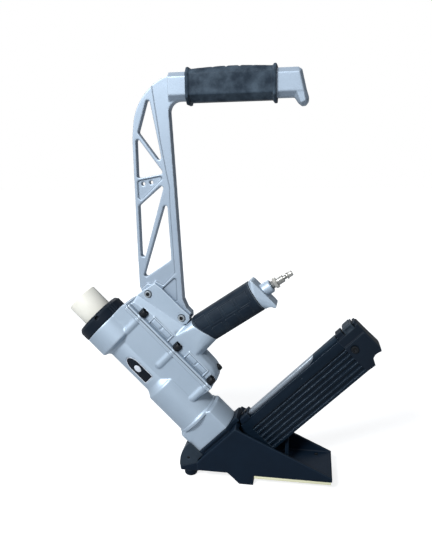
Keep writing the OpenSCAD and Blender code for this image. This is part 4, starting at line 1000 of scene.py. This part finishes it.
@dataclass
class Studio:
    """The pale floor, the soft lamps and the camera at the photograph's angle.

    Attributes:
        target: Point that camera and lamps face.
        azimuth: Turn of the camera round the object, in degrees.
        elevation: How far it stands above the target, in degrees.
        roll: Its roll, in degrees.
        distance: Its distance from the target.
        lens_mm: Focal length, on a sensor of sensor_mm.
        sensor_mm: Width of the sensor.
        nearest: Nearest distance that the camera sees.
        floor_half: Half the side of the floor.
        paper: Colour of the floor.
        floor_glow: Brightness that the camera sees on top of the floor's lit colour, near the object.
        floor_mirrored: The same for mirror rays.
        glow_reach: Distances between which the glow rises to white.
        sky: Colour of the fill light.
        sky_strength: Its strength.
        bright_side: Side of the room that mirror rays see bright.
        mirrored: Brightness of the shaded and the bright side for mirror rays.
        room_turn: Cosines between which the one side passes into the other.
        lamps: The lamps.
    """

    target: tuple[float, float, float] = (-0.045739, 0.0, 0.303826)
    azimuth: float = 10.417
    elevation: float = 11.349
    roll: float = -0.897
    distance: float = 0.76
    lens_mm: float = 36.2
    sensor_mm: float = 36.0
    nearest: float = 0.01
    floor_half: float = 8.0
    paper: str = "#a2a6aa"
    floor_glow: float = 0.84
    floor_mirrored: float = 0.3
    glow_reach: Span = (0.7, 2.2)
    sky: str = "#d9e1ea"
    sky_strength: float = 0.14
    bright_side: tuple[float, float, float] = (-0.55, -0.45, 0.7)
    mirrored: Span = (0.12, 1.0)
    room_turn: Span = (-0.35, 0.75)
    lamps: tuple[Lamp, ...] = (
        Lamp("key_lamp", (-1.3, -2.5, 2.3), 0.9, 150.0),
        Lamp("side_lamp", (1.9, -1.1, 1.0), 1.4, 1.0),
        Lamp("back_lamp", (-0.7, 1.7, 1.6), 1.4, 14.0))

    def build(self) -> None:
        """Builds the studio."""
        self._camera()
        self._floor()
        self._world()
        for lamp in self.lamps:
            lamp.build(Vector(self.target))
        bpy.context.scene.view_settings.view_transform = "Standard"

    def _camera(self) -> None:
        """Places the camera where the photograph's camera was."""
        turn, rise, roll = (math.radians(v) for v in (self.azimuth, self.elevation, self.roll))
        back = Vector((math.sin(turn) * math.cos(rise), -math.cos(turn) * math.cos(rise), math.sin(rise)))
        side = Vector((math.cos(turn), math.sin(turn), 0.0))
        up = back.cross(side)
        right = side * math.cos(roll) + up * math.sin(roll)
        top = up * math.cos(roll) - side * math.sin(roll)
        lens = bpy.data.cameras.new("camera")
        lens.lens = self.lens_mm
        lens.sensor_width = self.sensor_mm
        lens.clip_start = self.nearest
        camera = bpy.data.objects.new("camera", lens)
        bpy.context.scene.collection.objects.link(camera)
        aim = Matrix((right, top, back)).transposed().to_4x4()
        camera.matrix_world = Matrix.Translation(Vector(self.target) + back * self.distance) @ aim
        bpy.context.scene.camera = camera

    def _floor(self) -> None:
        """Lays the floor under the heel and gives it its pale colour."""
        h = self.floor_half
        mesh = bpy.data.meshes.new("studio_floor")
        mesh.from_pydata([(-h, -h, 0), (h, -h, 0), (h, h, 0), (-h, h, 0)], [], [(0, 1, 2, 3)])
        floor = bpy.data.objects.new("studio_floor", mesh)
        bpy.context.scene.collection.objects.link(floor)
        material = bpy.data.materials.new("studio_floor_paper")
        material.use_nodes = True
        tree = material.node_tree
        tree.nodes.clear()
        place = add_node(tree, "ShaderNodeNewGeometry").outputs["Position"]
        away = add_node(tree, "ShaderNodeVectorMath", {"operation": "LENGTH"}, {0: place}).outputs["Value"]
        glow_there = remap(tree, away, self.glow_reach, (self.floor_glow, 1.0))
        strength = self._background_rays(tree, glow_there, self.floor_mirrored)
        paper = add_node(tree, "ShaderNodeBsdfDiffuse", values={"Color": linear(self.paper)}).outputs[0]
        glow = add_node(
            tree, "ShaderNodeEmission", links={"Strength": strength}, values={"Color": WHITE}).outputs[0]
        both = add_node(tree, "ShaderNodeAddShader", links={0: paper, 1: glow}).outputs[0]
        add_node(tree, "ShaderNodeOutputMaterial", links={"Surface": both})
        mesh.materials.append(material)

    @staticmethod
    def _background_rays(tree: bpy.types.NodeTree, seen: Socket | float, mirrored: Socket | float) -> Socket:
        """Finds how bright the background is for the ray that meets it.

        Args:
            tree: Node tree that takes the nodes.
            seen: Brightness for camera rays.
            mirrored: Brightness for mirror and glass rays.

        Returns:
            Output with that brightness, and 0 for every other ray.
        """
        rays = add_node(tree, "ShaderNodeLightPath").outputs
        mirror = add_node(
            tree, "ShaderNodeMath", {"operation": "MAXIMUM"},
            {0: rays["Is Glossy Ray"], 1: rays["Is Transmission Ray"]}).outputs[0]
        parts = []
        for ray, brightness in ((rays["Is Camera Ray"], seen), (mirror, mirrored)):
            linked = isinstance(brightness, Socket)
            links = {0: ray, 1: brightness} if linked else {0: ray}
            values = {} if linked else {1: brightness}
            product = add_node(tree, "ShaderNodeMath", {"operation": "MULTIPLY"}, links, values)
            parts.append(product.outputs[0])
        return add_node(tree, "ShaderNodeMath", {"operation": "ADD"}, {0: parts[0], 1: parts[1]}).outputs[0]

    def _world(self) -> None:
        """Sets a white background, a dim cool fill light, and a room with a shaded side for mirror rays."""
        world = bpy.data.worlds.new("studio_world")
        bpy.context.scene.world = world
        world.use_nodes = True
        tree = world.node_tree
        tree.nodes.clear()
        direction = add_node(tree, "ShaderNodeTexCoord").outputs["Generated"]
        toward = add_node(
            tree, "ShaderNodeVectorMath", {"operation": "DOT_PRODUCT"}, {0: direction},
            {1: Vector(self.bright_side).normalized()}).outputs["Value"]
        room = remap(tree, toward, self.room_turn, self.mirrored, "SMOOTHSTEP")
        fill = add_node(
            tree, "ShaderNodeBackground",
            values={"Color": linear(self.sky), "Strength": self.sky_strength}).outputs[0]
        white = add_node(
            tree, "ShaderNodeBackground", links={"Strength": self._background_rays(tree, 1.0, room)},
            values={"Color": WHITE}).outputs[0]
        rays = add_node(tree, "ShaderNodeLightPath").outputs
        lit = add_node(
            tree, "ShaderNodeMath", {"operation": "SUBTRACT"}, {1: rays["Is Camera Ray"]},
            {0: 1.0}).outputs[0]
        light = add_node(tree, "ShaderNodeMixShader", links={0: lit, 2: fill}).outputs[0]
        both = add_node(tree, "ShaderNodeAddShader", links={0: light, 1: white}).outputs[0]
        add_node(tree, "ShaderNodeOutputWorld", links={"Surface": both})


def main() -> None:
    """Builds every sub-assembly and the studio."""
    logging.basicConfig(level=logging.INFO, format="%(message)s")
    for part in (Studio(), Shoe(), Housings(), Grips(), AirInlet(), StrikingHead(), Arm(), Magazine()):
        LOG.info("building %s", type(part).__name__)
        part.build()


if __name__ == "__main__":
    main()
